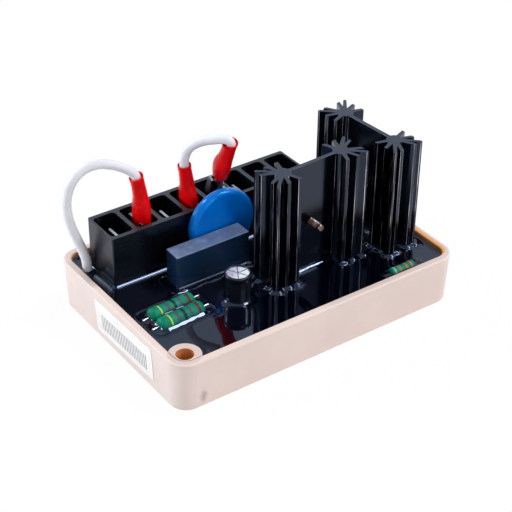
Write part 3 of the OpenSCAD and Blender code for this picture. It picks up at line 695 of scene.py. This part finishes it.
TRAY_PLASTIC = tray_plastic()
POTTING = potting_compound()
SINK_BLACK = sink_black()
TERMINAL_BLACK = moulded(
    "terminal_plastic", tone(2, 3, 6), tone(4, 5, 9), 0.22, 0.32, grain=0.00001, dust_and_sheen_amount=0.05,
    Specular_Tint=BLUISH,
)
BOARD_GREEN = moulded("board_laminate", tone(40, 92, 58), tone(34, 80, 50), 0.35, 0.5)
TINNED = drawn_metal("tinned_metal", tone(190, 194, 202), tone(160, 164, 172), 0.2, 0.36, (1.0, 1.0, 0.1))
DEVICE_BLACK = moulded("device_plastic", tone(16, 16, 18), tone(22, 22, 25), 0.5, 0.65)
# On the screws the light and dark bands are painted thread highlights and shade
SCREW_METAL = drawn_metal("screw_metal", tone(190, 170, 166), tone(64, 46, 44), 0.14, 0.3, (0.05, 1.0, 0.05))
# The bluish film on the case's top is a painted sheen, lighter where light falls on the top
FILM_BLUE = moulded(
    "film_capacitor_case", tone(17, 44, 72), tone(13, 37, 63), 0.24, 0.34, grain=0.00002, dust_and_sheen_amount=0.6,
    dust_and_sheen_tone=tone(146, 166, 206), IOR=1.8, Specular_Tint=BLUISH,
)
VARISTOR_BLUE = moulded(
    "varistor_epoxy", tone(0, 116, 216), tone(0, 104, 202), 0.14, 0.22, grain=0.00003, cloud_scale=160.0,
    IOR=1.6, Specular_Tint=(0.12, 0.65, 1.0, 1.0),
)
CAN_METAL = scored_can(
    "can_aluminium", tone(250, 252, 255), tone(230, 234, 248), 0.18, 0.34, (0.2, 1.0, 1.0),
)
CAN_SLEEVE = moulded(
    "can_sleeve", tone(5, 5, 9), tone(8, 8, 13), 0.14, 0.24, grain=0.00002, Specular_Tint=BLUISH,
)
CERAMIC_TAN = moulded("ceramic_tan", tone(184, 156, 108), tone(170, 142, 98), 0.4, 0.55)
RECEPTACLE_METAL = drawn_metal(
    "receptacle_metal", tone(140, 142, 148), tone(108, 110, 116), 0.3, 0.45, (1.0, 0.1, 1.0),
)
SLEEVE_RED = moulded(
    "sleeve_vinyl", tone(238, 0, 10), tone(200, 0, 6), 0.22, 0.36, grain=0.00016, cloud_scale=300.0,
    Subsurface_Weight=0.12, Subsurface_Radius=(1.0, 0.1, 0.08), Subsurface_Scale=0.001,
    Specular_IOR_Level=0.3, Specular_Tint=(1.0, 0.3, 0.3, 1.0),
)
WIRE_WHITE = moulded(
    "wire_insulation", tone(230, 227, 232), tone(222, 219, 225), 0.4, 0.5, cloud_scale=120.0,
    Specular_IOR_Level=0.3,
)
LABEL_PAPER = label_paper()

# Painted rings: place as a share of the length, colour, width
YELLOW, SILVER, GREY, DARK = tone(190, 205, 40), tone(150, 160, 170), tone(70, 76, 90), tone(24, 34, 40)
RED_BROWN, TAN, ROSE = tone(90, 40, 44), tone(158, 106, 72), tone(160, 114, 104)
BIG_BANDS = [
    (0.21, YELLOW, 0.45), (0.38, GREY, 1.0), (0.53, DARK, 0.9), (0.67, GREY, 0.9), (0.85, RED_BROWN, 1.0),
]
SMALL_BANDS = [(0.15, SILVER, 0.5), (0.36, TAN, 0.8), (0.63, TAN, 0.8), (0.82, ROSE, 0.7)]


# CAD nodes that keep their own shape

def keep_solids(finish, *names):
    for name in names:
        nodes[name].data.materials.clear()
        nodes[name].data.materials.append(finish)


def dress_solids():
    keep_solids(TRAY_PLASTIC, "tray")
    keep_solids(BOARD_GREEN, "circuit_board")
    keep_solids(TINNED, *[f"spade_tab_{i}" for i in range(1, 9)], "sink_pins", "film_capacitor_leads",
                "varistor_leads", "electrolytic_leads", "thyristor_frame", "diode_frame",
                *[f"resistor_leads_{i}" for i in (1, 2, 3)])
    keep_solids(DEVICE_BLACK, "thyristor_case", "diode_case", "control_chip", "sensing_resistors",
                "signal_diodes")
    keep_solids(CERAMIC_TAN, "timing_capacitors")
    keep_solids(CAN_METAL, "electrolytic_can")


# Compound that wets everything standing in it

def box_distance(x, y, middle, half, rounding=0.0):
    dx = np.abs(x - middle[0]) - (half[0] - rounding)
    dy = np.abs(y - middle[1]) - (half[1] - rounding)
    outside = np.hypot(np.maximum(dx, 0), np.maximum(dy, 0))
    return outside + np.minimum(np.maximum(dx, dy), 0) - rounding


def plan_of(node):
    """A node's middle and half size in plan."""
    low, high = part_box(node)
    middle = ((low.x + high.x) / 2 / MM, (low.y + high.y) / 2 / MM)
    half = ((high.x - low.x) / 2 / MM, (high.y - low.y) / 2 / MM)
    return middle, half


def own_axes(x, y, middle, turn):
    """Places along and across a piece that stands turned, by degrees, about its middle."""
    turn = math.radians(turn)
    p, q = x - middle[0], y - middle[1]
    return p * math.cos(turn) + q * math.sin(turn), q * math.cos(turn) - p * math.sin(turn)


def fin_length(angle):
    across, up = math.cos(math.radians(angle)), math.sin(math.radians(angle))
    limit = FIN_REACH if across > 0 else FIN_HALF_DEPTH
    return min(limit / max(abs(across), 1e-6), FIN_HALF_DEPTH / max(abs(up), 1e-6))


def sink_distance(x, y, node):
    middle, _ = plan_of(node)
    u, v = own_axes(x, y, middle, SINK_TURNS[node])
    nearest = box_distance(u, v, (0, 0), (STAR_HALF_PITCH, WEB_HALF_THICKNESS))
    for end in (-1, 1):
        for angle in FIN_ANGLES:
            for side in (-1, 1):
                along, aside = own_axes(end * u, v, (STAR_HALF_PITCH, 0), side * angle)
                half = fin_length(angle) / 2
                fin = box_distance(along, aside, (half, 0), (half, FIN_HALF_THICKNESS))
                nearest = np.minimum(nearest, fin)
    return nearest


def resistor_distance(x, y, node, extra, radius):
    """Distance from a resistor's plan, with so much more length at each end."""
    middle, _ = plan_of(node)
    half, turn, _ = RESISTORS[node]
    u, v = own_axes(x, y, middle, turn)
    return box_distance(u, v, (0, 0), (half + extra, radius), min(radius, 0.8))


def pool_obstacles(x, y):
    """Distance, rise and reach of everything that the compound climbs."""
    yield -box_distance(x, y, *plan_of("potting"), CAVITY_CORNER), *CLIMB["wall"]
    for place in MOUNT_PLACES:
        yield np.hypot(x - place[0], y - place[1]) - BOSS_RADIUS, *CLIMB["boss"]
    for node in ("terminal_housing", "film_capacitor"):
        yield box_distance(x, y, *plan_of(node), BOX_CORNER), *CLIMB[node]
    for node, (_, _, radius) in RESISTORS.items():
        yield resistor_distance(x, y, node, 0.0, radius), *CLIMB["resistor"]
        yield resistor_distance(x, y, node, LEAD_REACH, LEAD_WET_RADIUS), *CLIMB["resistor"]
    middle, half = plan_of("electrolytic_sleeve")
    yield np.hypot(x - middle[0], y - middle[1]) - half[0], *CLIMB["electrolytic_sleeve"]
    for node in SINK_TURNS:
        yield sink_distance(x, y, node), *CLIMB["sink"]
    entry = LEAD_ROUTE[0]
    yield np.hypot(x - entry[0] / MM, y - entry[1] / MM) - WIRE_DIAMETER / MM / 2, *CLIMB["wire"]


def bead(distance, at, height, width):
    """A low bead that the compound leaves along a part, some way off it."""
    return height * np.exp(-(((distance - at) / width) ** 2))


def fillet(distance, width, slope=FILLET_SLOPE):
    """A straight slope of compound against a part, easing into the level."""
    depth = np.clip((width - np.maximum(distance, 0)) / FILLET_SOFTNESS, -40, 40)
    return slope * FILLET_SOFTNESS * np.log1p(np.exp(depth))


def between_resistors(x, y):
    """The strip of compound drawn up between the two long resistors."""
    (x1, y1), (x2, y2) = (plan_of(node)[0] for node in LONG_PAIR)
    u, v = own_axes(x, y, ((x1 + x2) / 2, (y1 + y2) / 2), RESISTORS[LONG_PAIR[0]][1])
    ends = 1 / (1 + np.exp((np.abs(u) - STRIP_HALF_LENGTH) / STRIP_END_SOFTNESS))
    strip = (STRIP_HEIGHT + FILLET_SLOPE * np.clip(v - 0.2, -0.35, 0.3)) * ends
    return np.where(np.abs(v) < STRIP_HALF_WIDTH, strip, 0.0)


def pool_height(x, y):
    """How far the compound stands above its level."""
    height = np.zeros_like(x)
    for distance, rise, reach in pool_obstacles(x, y):
        height = np.maximum(height, rise * np.exp(-np.maximum(distance, 0) / reach))
    wander = 0.25 * np.sin(0.9 * x + 1.0) + 0.15 * np.sin(2.1 * x + 0.4 * y)
    radius = RESISTORS["resistor_2"][2]
    beside = resistor_distance(x, y, "resistor_2", -0.6, radius)
    height = np.maximum(height, fillet(beside, RESISTOR_FILLET + 0.2 * wander))
    for node in SINK_TURNS:
        slope = fillet(sink_distance(x, y, node), SINK_FILLET + 0.15 * wander, SINK_SLOPE)
        height = np.maximum(height, np.minimum(slope, SINK_FILLET_TOP))
    film = box_distance(x, y, *plan_of("film_capacitor"), BOX_CORNER)
    height = height + bead(film + wander, *FILM_BEAD)
    pair = np.minimum(*[resistor_distance(x, y, node, 1.2, radius) for node in LONG_PAIR])
    height = height + bead(pair + 0.3 * wander, *PAIR_BEAD)
    return np.maximum(height, between_resistors(x, y))


def close_below(pool):
    """Draws every open edge of the skin down to one level and closes what is left open there."""
    edit(pool, "EDGE")
    bpy.ops.mesh.select_non_manifold(
        extend=False, use_wire=False, use_multi_face=False, use_non_contiguous=False, use_verts=False,
    )
    extrude((0, 0, -POOL_SKIN * MM))
    bpy.ops.transform.resize(value=(1, 1, 0), center_override=(0, 0, (POOL_LEVEL - POOL_SKIN) * MM))
    bpy.ops.mesh.fill()
    merge_and_turn_out(pool)


def make_pool():
    """The compound's skin: a fine sheet that dips into the parts it holds and is open where they stand."""
    low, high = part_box("potting")
    size_x, size_y = (high.x - low.x) / MM, (high.y - low.y) / MM
    pool = begin(
        bpy.ops.mesh.primitive_grid_add, "potting_pool", size=1.0, location=(0, 0, POOL_LEVEL * MM),
        x_subdivisions=round(size_x / POOL_CELL), y_subdivisions=round(size_y / POOL_CELL),
    )
    pool.scale = (size_x * MM, size_y * MM, 1)
    freeze(pool)
    places = np.array([point.co[:] for point in pool.data.vertices])
    x, y = places[:, 0] / MM, places[:, 1] / MM
    places[:, 2] = (POOL_LEVEL + pool_height(x, y)) * MM
    pool.data.vertices.foreach_set("co", places.astype(np.float32).ravel())
    buried = np.min([distance for distance, _, _ in pool_obstacles(x, y)], axis=0) < -BURIED
    pick(pool, "FACE", lambda face: all(buried[point.index] for point in face.verts))
    bpy.ops.mesh.delete(type="FACE")
    close_below(pool)
    dress(pool, POTTING, ["potting"], smooth=60.0)


# Pieces that stand in the compound

def make_terminal_housing():
    housing = softened("terminal_housing", "terminal_block", HOUSING_EDGE)
    dress(housing, TERMINAL_BLACK, ["terminal_housing"], flat_faces=True)


def mark_upright_edges(piece, widest):
    """Notes, face by face, the narrow rounds along a piece's upright edges, where painted highlights go; the
    width is in metres.
    """
    places = piece.data.vertices
    marks = piece.data.attributes.new(HIGHLIGHT_EDGES, "FLOAT", "FACE")
    for face in piece.data.polygons:
        ring = [places[index].co for index in face.vertices]
        outline = sum((ring[i] - ring[i - 1]).length for i in range(len(ring)))
        narrow = 2 * face.area / outline < widest
        upright = abs(face.normal.z) < 0.3
        marks.data[face.index].value = 1.0 if narrow and upright else 0.0


def make_heat_sinks():
    for node in SINK_TURNS:
        sink = softened(node, node.replace("heatsink", "finned_sink"), SINK_EDGE)
        dress(sink, SINK_BLACK, [node], flat_faces=True)
        mark_upright_edges(sink, 0.8 * SINK_EDGE * MM)


def make_film_capacitor():
    """Box capacitor: a moulded case with a shallow sunk top."""
    rim, dip, edge = 0.5, 0.12, 0.45
    low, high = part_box("film_capacitor")
    case = begin(bpy.ops.mesh.primitive_cube_add, "film_capacitor_case", size=1.0, location=(low + high) / 2)
    case.scale = high - low
    freeze(case)
    pick(case, "FACE", lambda face: face.normal.z > 0.9)
    bpy.ops.mesh.inset(thickness=rim * MM)
    bpy.ops.transform.translate(value=(0, 0, -dip * MM))
    round_edges(case, edge * MM, 4, 50)
    dress(case, FILM_BLUE, ["film_capacitor"], flat_faces=True)


def make_varistor():
    """Epoxy-dipped disc: a thick round rim and faces a little sunk in the middle."""
    outer_ring, inner_ring, sunk, rim_share = 0.36, 0.3, 0.94, 0.42
    low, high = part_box("varistor")
    middle, thickness, radius = (low + high) / 2, high.y - low.y, (high.x - low.x) / 2
    disc = begin(
        bpy.ops.mesh.primitive_cylinder_add, "varistor_disc", vertices=96, radius=radius, depth=thickness,
        location=middle, rotation=(math.pi / 2, 0, 0),
    )
    freeze(disc)
    pick(disc, "FACE", lambda face: abs(face.normal.y) > 0.9)
    bpy.ops.mesh.inset(thickness=outer_ring * radius)
    bpy.ops.mesh.inset(thickness=inner_ring * radius)
    bpy.ops.transform.resize(value=(1, sunk, 1), center_override=middle)
    round_edges(disc, rim_share * thickness, 8, 50)
    dress(disc, VARISTOR_BLUE, ["varistor"], smooth=60.0)


def make_electrolytic():
    """Shrunk sleeve of the can: a shallow groove, and its end folded over the can's rim."""
    low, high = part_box("electrolytic_sleeve")
    centre = Vector(((low.x + high.x) / 2, (low.y + high.y) / 2, low.z))
    radius, height = (high.x - low.x) / 2 / MM, (high.z - low.z) / MM
    skin, fold, lip = 0.15, 0.4, 0.62
    groove, groove_half, groove_depth = height - 1.9, 0.5, 0.1
    profile = [(0.0, radius - skin), (0.0, radius), (groove - groove_half, radius),
               (groove, radius - groove_depth), (groove + groove_half, radius)]
    for step in range(5):
        turn = math.radians(90 * step / 4)
        profile.append((height - fold + fold * math.sin(turn), radius - fold + fold * math.cos(turn)))
    profile += [(height - 0.05, radius - lip), (height - 0.3, radius - lip - 0.05),
                (height - 0.36, radius - skin), (0.0, radius - skin)]
    sleeve = turned("electrolytic_shrink_sleeve", profile, centre, (0, 0, 1), (1, 0, 0), 48)
    dress(sleeve, CAN_SLEEVE, ["electrolytic_sleeve"], smooth=40.0)


def resistor_profile(half, end):
    """Dog-bone outline: round end caps, slightly raised, with a slimmer barrel between."""
    barrel, cap = end * 0.94, half * 0.34
    outline = [(-half, 0.0), (-half, end * 0.5)]
    for step in range(1, 6):
        turn = math.radians(90 * step / 5)
        outline.append((-half + end * 0.5 * (1 - math.cos(turn)), end * 0.5 + end * 0.5 * math.sin(turn)))
    for share in (0.0, 0.25, 0.5, 0.75, 1.0):
        ease = share * share * (3 - 2 * share)
        outline.append((-half + cap + share * end * 0.5, end + (barrel - end) * ease))
    return outline + [(-a, r) for a, r in reversed(outline)]


def make_resistors():
    for node, (half, turn, _) in RESISTORS.items():
        bands = BIG_BANDS if node in LONG_PAIR else SMALL_BANDS
        low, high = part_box(node)
        middle = (low + high) / 2
        direction = Vector((math.cos(math.radians(turn)), math.sin(math.radians(turn)), 0.0))
        radius = (high.z - low.z) / 2 / MM
        name = node.replace("resistor", "banded_resistor")
        piece = turned(name, resistor_profile(half, radius), middle, direction, (0, 0, 1), 40)
        enamel = banded_enamel(node + "_enamel", middle, half, direction, bands)
        dress(piece, enamel, [node], smooth=50.0)


def screw_profile(head_height, length):
    """A machine screw's outline from its head to its bevelled end, with rolled threads."""
    pitch, depth, radius, head_radius = 0.5, 0.2, 1.3, 2.4
    root = radius - depth
    profile = [(0.0, 0.0), (0.0, head_radius - 0.3), (0.3, head_radius), (head_height, head_radius),
               (head_height, root)]
    for thread in range(int((length - head_height - 0.6) / pitch)):
        start = head_height + 0.1 + thread * pitch
        profile += [(start, root), (start + 0.2, radius), (start + 0.3, radius)]
    return profile + [(length - 0.45, radius - 0.1), (length, radius - 0.4), (length, 0.0)]


def make_screws():
    """Machine screws: the head on the device's plate, the end out past the web."""
    head_height, plate, free_end = 1.8, 1.3, 4.6
    length = head_height + plate + 2 * WEB_HALF_THICKNESS + free_end
    head_at = head_height + plate + WEB_HALF_THICKNESS
    for side in ("front", "rear"):
        node, sink = f"screw_{side}", f"heatsink_{side}"
        turn = math.radians(SINK_TURNS[sink])
        axis = Vector((math.sin(turn), -math.cos(turn), 0.0))
        low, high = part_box(sink)
        screw_low, screw_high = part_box(node)
        centre = (low + high) / 2
        centre.z = (screw_low.z + screw_high.z) / 2
        screw = turned(f"clamp_screw_{side}", screw_profile(head_height, length),
                       centre - axis * (head_at * MM), axis, (0, 0, 1), 28)
        dress(screw, SCREW_METAL, [node], smooth=30.0)


# Wires and their connectors

def make_cord(name, route, node):
    deselect_all()
    line = bpy.data.curves.new(name, "CURVE")
    line.dimensions = "3D"
    line.bevel_depth = WIRE_DIAMETER / 2
    line.bevel_resolution = 6
    line.resolution_u = 8
    line.use_fill_caps = True
    spline = line.splines.new("BEZIER")
    spline.bezier_points.add(len(route) - 1)
    for point, place in zip(spline.bezier_points, route):
        point.co = place
        point.handle_left_type = point.handle_right_type = "AUTO"
    cord = bpy.data.objects.new(name, line)
    bpy.context.scene.collection.objects.link(cord)
    line.materials.append(WIRE_WHITE)
    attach(cord, BODY)
    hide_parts(node)
    return cord


def make_sleeve(number, foot, tilt, rings, notch=0.0):
    """Vinyl sleeve drawn ring by ring up its connector; a notch pulls one side of its mouth down."""
    sleeve = begin(bpy.ops.mesh.primitive_circle_add, f"vinyl_sleeve_{number}", vertices=36, radius=MM)
    edit(sleeve, "EDGE", "SELECT")
    before = (0.0, 1.0, 1.0, 0.0, 0.0, 0.0)
    for ring in rings:
        up, half_x, half_y, aside_x, aside_y, lean = ring
        step = Vector((aside_x - before[3], aside_y - before[4], up - before[0])) * MM
        centre = Vector((aside_x, aside_y, up)) * MM
        if ring is not rings[0]:
            extrude(step)
        else:
            bpy.ops.transform.translate(value=step)
        growth = (half_x / before[1], half_y / before[2], 1)
        bpy.ops.transform.resize(value=growth, center_override=centre)
        if lean != before[5]:
            turn = math.radians(lean - before[5])
            bpy.ops.transform.rotate(value=turn, orient_axis="Y", center_override=centre)
        before = ring
    if notch:
        mouth, aside = (rings[-1][0] - 0.4) * MM, 1.2 * MM
        pick(sleeve, "VERT", lambda point: point.co.z > mouth and point.co.y - point.co.x > aside)
        bpy.ops.transform.translate(value=(0, 0, -notch * MM))
    bpy.ops.object.mode_set(mode="OBJECT")
    sleeve.matrix_world = Matrix.Translation(Vector(foot) * MM) @ Matrix.Rotation(tilt, 4, "X")
    freeze(sleeve)
    merge_and_turn_out(sleeve)
    apply_modifier(sleeve, "SOLIDIFY", thickness=SLEEVE_WALL * MM, offset=-1.0)
    apply_modifier(sleeve, "SUBSURF", levels=1, render_levels=1)
    return dress(sleeve, SLEEVE_RED, [f"sleeve_{number}"], smooth=70.0)


def make_receptacle(number):
    node = f"receptacle_{number}"
    grip = softened(node, f"push_on_receptacle_{number}", RECEPTACLE_EDGE, segments=3)
    return dress(grip, RECEPTACLE_METAL, [node], flat_faces=True)


def make_wiring():
    x, y, z = THIRD_AXIS
    third_foot = (x, y - THIRD_SLIDE * math.sin(THIRD_TILT), z + THIRD_SLIDE * math.cos(THIRD_TILT))
    first = make_sleeve(1, FIRST_FOOT, 0.0, FIRST_SLEEVE)
    second = make_sleeve(2, SECOND_FOOT, 0.0, SECOND_SLEEVE)
    third = make_sleeve(3, third_foot, THIRD_TILT, THIRD_SLEEVE, THIRD_NOTCH)
    grips = [make_receptacle(number) for number in (1, 2, 3)]
    lead = make_cord("lead_cord", LEAD_ROUTE, "lead_wire")
    jumper = make_cord("jumper_cord", JUMPER_ROUTE, "jumper_wire")


def make_label():
    """Paper label on the left wall, a little askew, with round corners."""
    label = begin(bpy.ops.mesh.primitive_cube_add, "side_label", size=1.0)
    label.scale = (LABEL_THICKNESS * MM, LABEL_SIZE[0] * MM, LABEL_SIZE[1] * MM)
    freeze(label)
    pick(label, "EDGE", lambda edge: edge.calc_length() < 2 * LABEL_THICKNESS * MM)
    bpy.ops.mesh.bevel(offset=LABEL_CORNER * MM, segments=5, affect="EDGES")
    bpy.ops.object.mode_set(mode="OBJECT")
    lean = math.atan2(WALL_LEAN, WALL_HEIGHT)
    wall_x = -TRAY_HALF_LENGTH + WALL_LEAN * (WALL_TOP - LABEL_CENTRE[1]) / WALL_HEIGHT
    label.matrix_world = (
        Matrix.Translation(Vector((wall_x - LABEL_STANDOFF, *LABEL_CENTRE)) * MM)
        @ Matrix.Rotation(-lean, 4, "Y") @ Matrix.Rotation(math.radians(LABEL_TURN), 4, "X")
    )
    dress(label, LABEL_PAPER, smooth=30.0)


# Studio

# Soft boxes: name, place and size in metres, watts, and the colour of the cool one
SOFT_BOXES = [
    ("overhead_box", (0.43, -0.14, 0.89), (0.16, 0.26), 3.3),
    ("right_box", (0.56, -0.44, 0.7), (0.18, 0.16), 2.6),
    ("left_box", (-0.62, 0.42, 0.2), (0.35, 0.3), 4.15, (0.82, 0.93, 1.0)),
    ("back_box", (-0.3, 0.68, 0.7), (0.2, 0.2), 2.0),
    ("front_box", (0.1, -0.85, 0.42), (0.5, 0.35), 2.1),
]
LIT_PLACE = Vector((0.0, 0.0, 0.02))

# Floor and sky: the paper's colour, how much of its white shows as it is, and the sky's colour and light
FLOOR_SIZE = 6.0
FLOOR_TONE = (0.82, 0.82, 0.82, 1)
FLOOR_WHITE_SHARE = 0.955
SKY_TONE = (0.87, 0.94, 1.0, 1)
SKY_LIGHT = 0.43


def make_soft_box(name, place, size, watts, tint=WHITE[:3]):
    deselect_all()
    bpy.ops.object.light_add(type="AREA", location=place)
    lamp = bpy.context.object
    lamp.name = name
    lamp.data.shape = "RECTANGLE"
    lamp.data.size, lamp.data.size_y = size
    lamp.data.energy = watts
    lamp.data.color = tint
    lamp.rotation_mode = "QUATERNION"
    lamp.rotation_quaternion = (LIT_PLACE - lamp.location).to_track_quat("-Z", "Y")


def seen_by_eye(tree):
    """1 for rays that show a background: from the camera, a mirror or glass."""
    path = add_node(tree, "ShaderNodeLightPath")
    seen = math_node(tree, "MAXIMUM", path.outputs["Is Camera Ray"], path.outputs["Is Glossy Ray"])
    return math_node(tree, "MAXIMUM", seen, path.outputs["Is Transmission Ray"])


def make_floor():
    floor = begin(bpy.ops.mesh.primitive_plane_add, "studio_floor", size=FLOOR_SIZE)
    paper, tree, shader = new_finish(
        "studio_paper", Roughness=0.9, Base_Color=FLOOR_TONE, Specular_IOR_Level=0.0,
    )
    white = add_node(tree, "ShaderNodeEmission", {"Color": WHITE, "Strength": 1.0})
    share = times(tree, seen_by_eye(tree), FLOOR_WHITE_SHARE)
    both = add_node(tree, "ShaderNodeMixShader", {0: share, 1: shader.outputs[0], 2: white.outputs[0]})
    tree.links.new(both.outputs[0], tree.nodes["Material Output"].inputs["Surface"])
    floor.data.materials.append(paper)


def make_sky():
    world = bpy.data.worlds.new("studio_white")
    bpy.context.scene.world = world
    world.use_nodes = True
    tree = world.node_tree
    sky = tree.nodes["Background"]
    sky.inputs["Color"].default_value = SKY_TONE
    level = math_node(tree, "MULTIPLY_ADD", seen_by_eye(tree), 1.0 - SKY_LIGHT, SKY_LIGHT)
    tree.links.new(level, sky.inputs["Strength"])


def make_studio():
    make_floor()
    make_sky()
    for soft_box in SOFT_BOXES:
        make_soft_box(*soft_box)


def make_camera():
    azimuth, elevation, roll = (math.radians(v) for v in (CAMERA_AZIMUTH, CAMERA_ELEVATION, CAMERA_ROLL))
    level = math.cos(elevation)
    back = Vector((math.sin(azimuth) * level, -math.cos(azimuth) * level, math.sin(elevation)))
    right = (-back).cross(Vector((0, 0, 1))).normalized()
    up = right.cross(-back)
    right, up = right * math.cos(roll) + up * math.sin(roll), up * math.cos(roll) - right * math.sin(roll)
    bpy.ops.object.camera_add()
    camera = bpy.context.object
    camera.name = "photo_camera"
    turn = Matrix((right, up, back)).transposed().to_4x4()
    camera.matrix_world = Matrix.Translation(CAMERA_TARGET + back * CAMERA_DISTANCE) @ turn
    camera.data.sensor_width = SENSOR_MM
    camera.data.lens = FOCAL_PIXELS / IMAGE_PIXELS * SENSOR_MM
    camera.data.clip_start, camera.data.clip_end = 0.01, 20.0
    bpy.context.scene.camera = camera


dress_solids()
make_pool()
make_terminal_housing()
make_heat_sinks()
make_film_capacitor()
make_varistor()
make_electrolytic()
make_resistors()
make_screws()
make_wiring()
make_label()
make_studio()
make_camera()
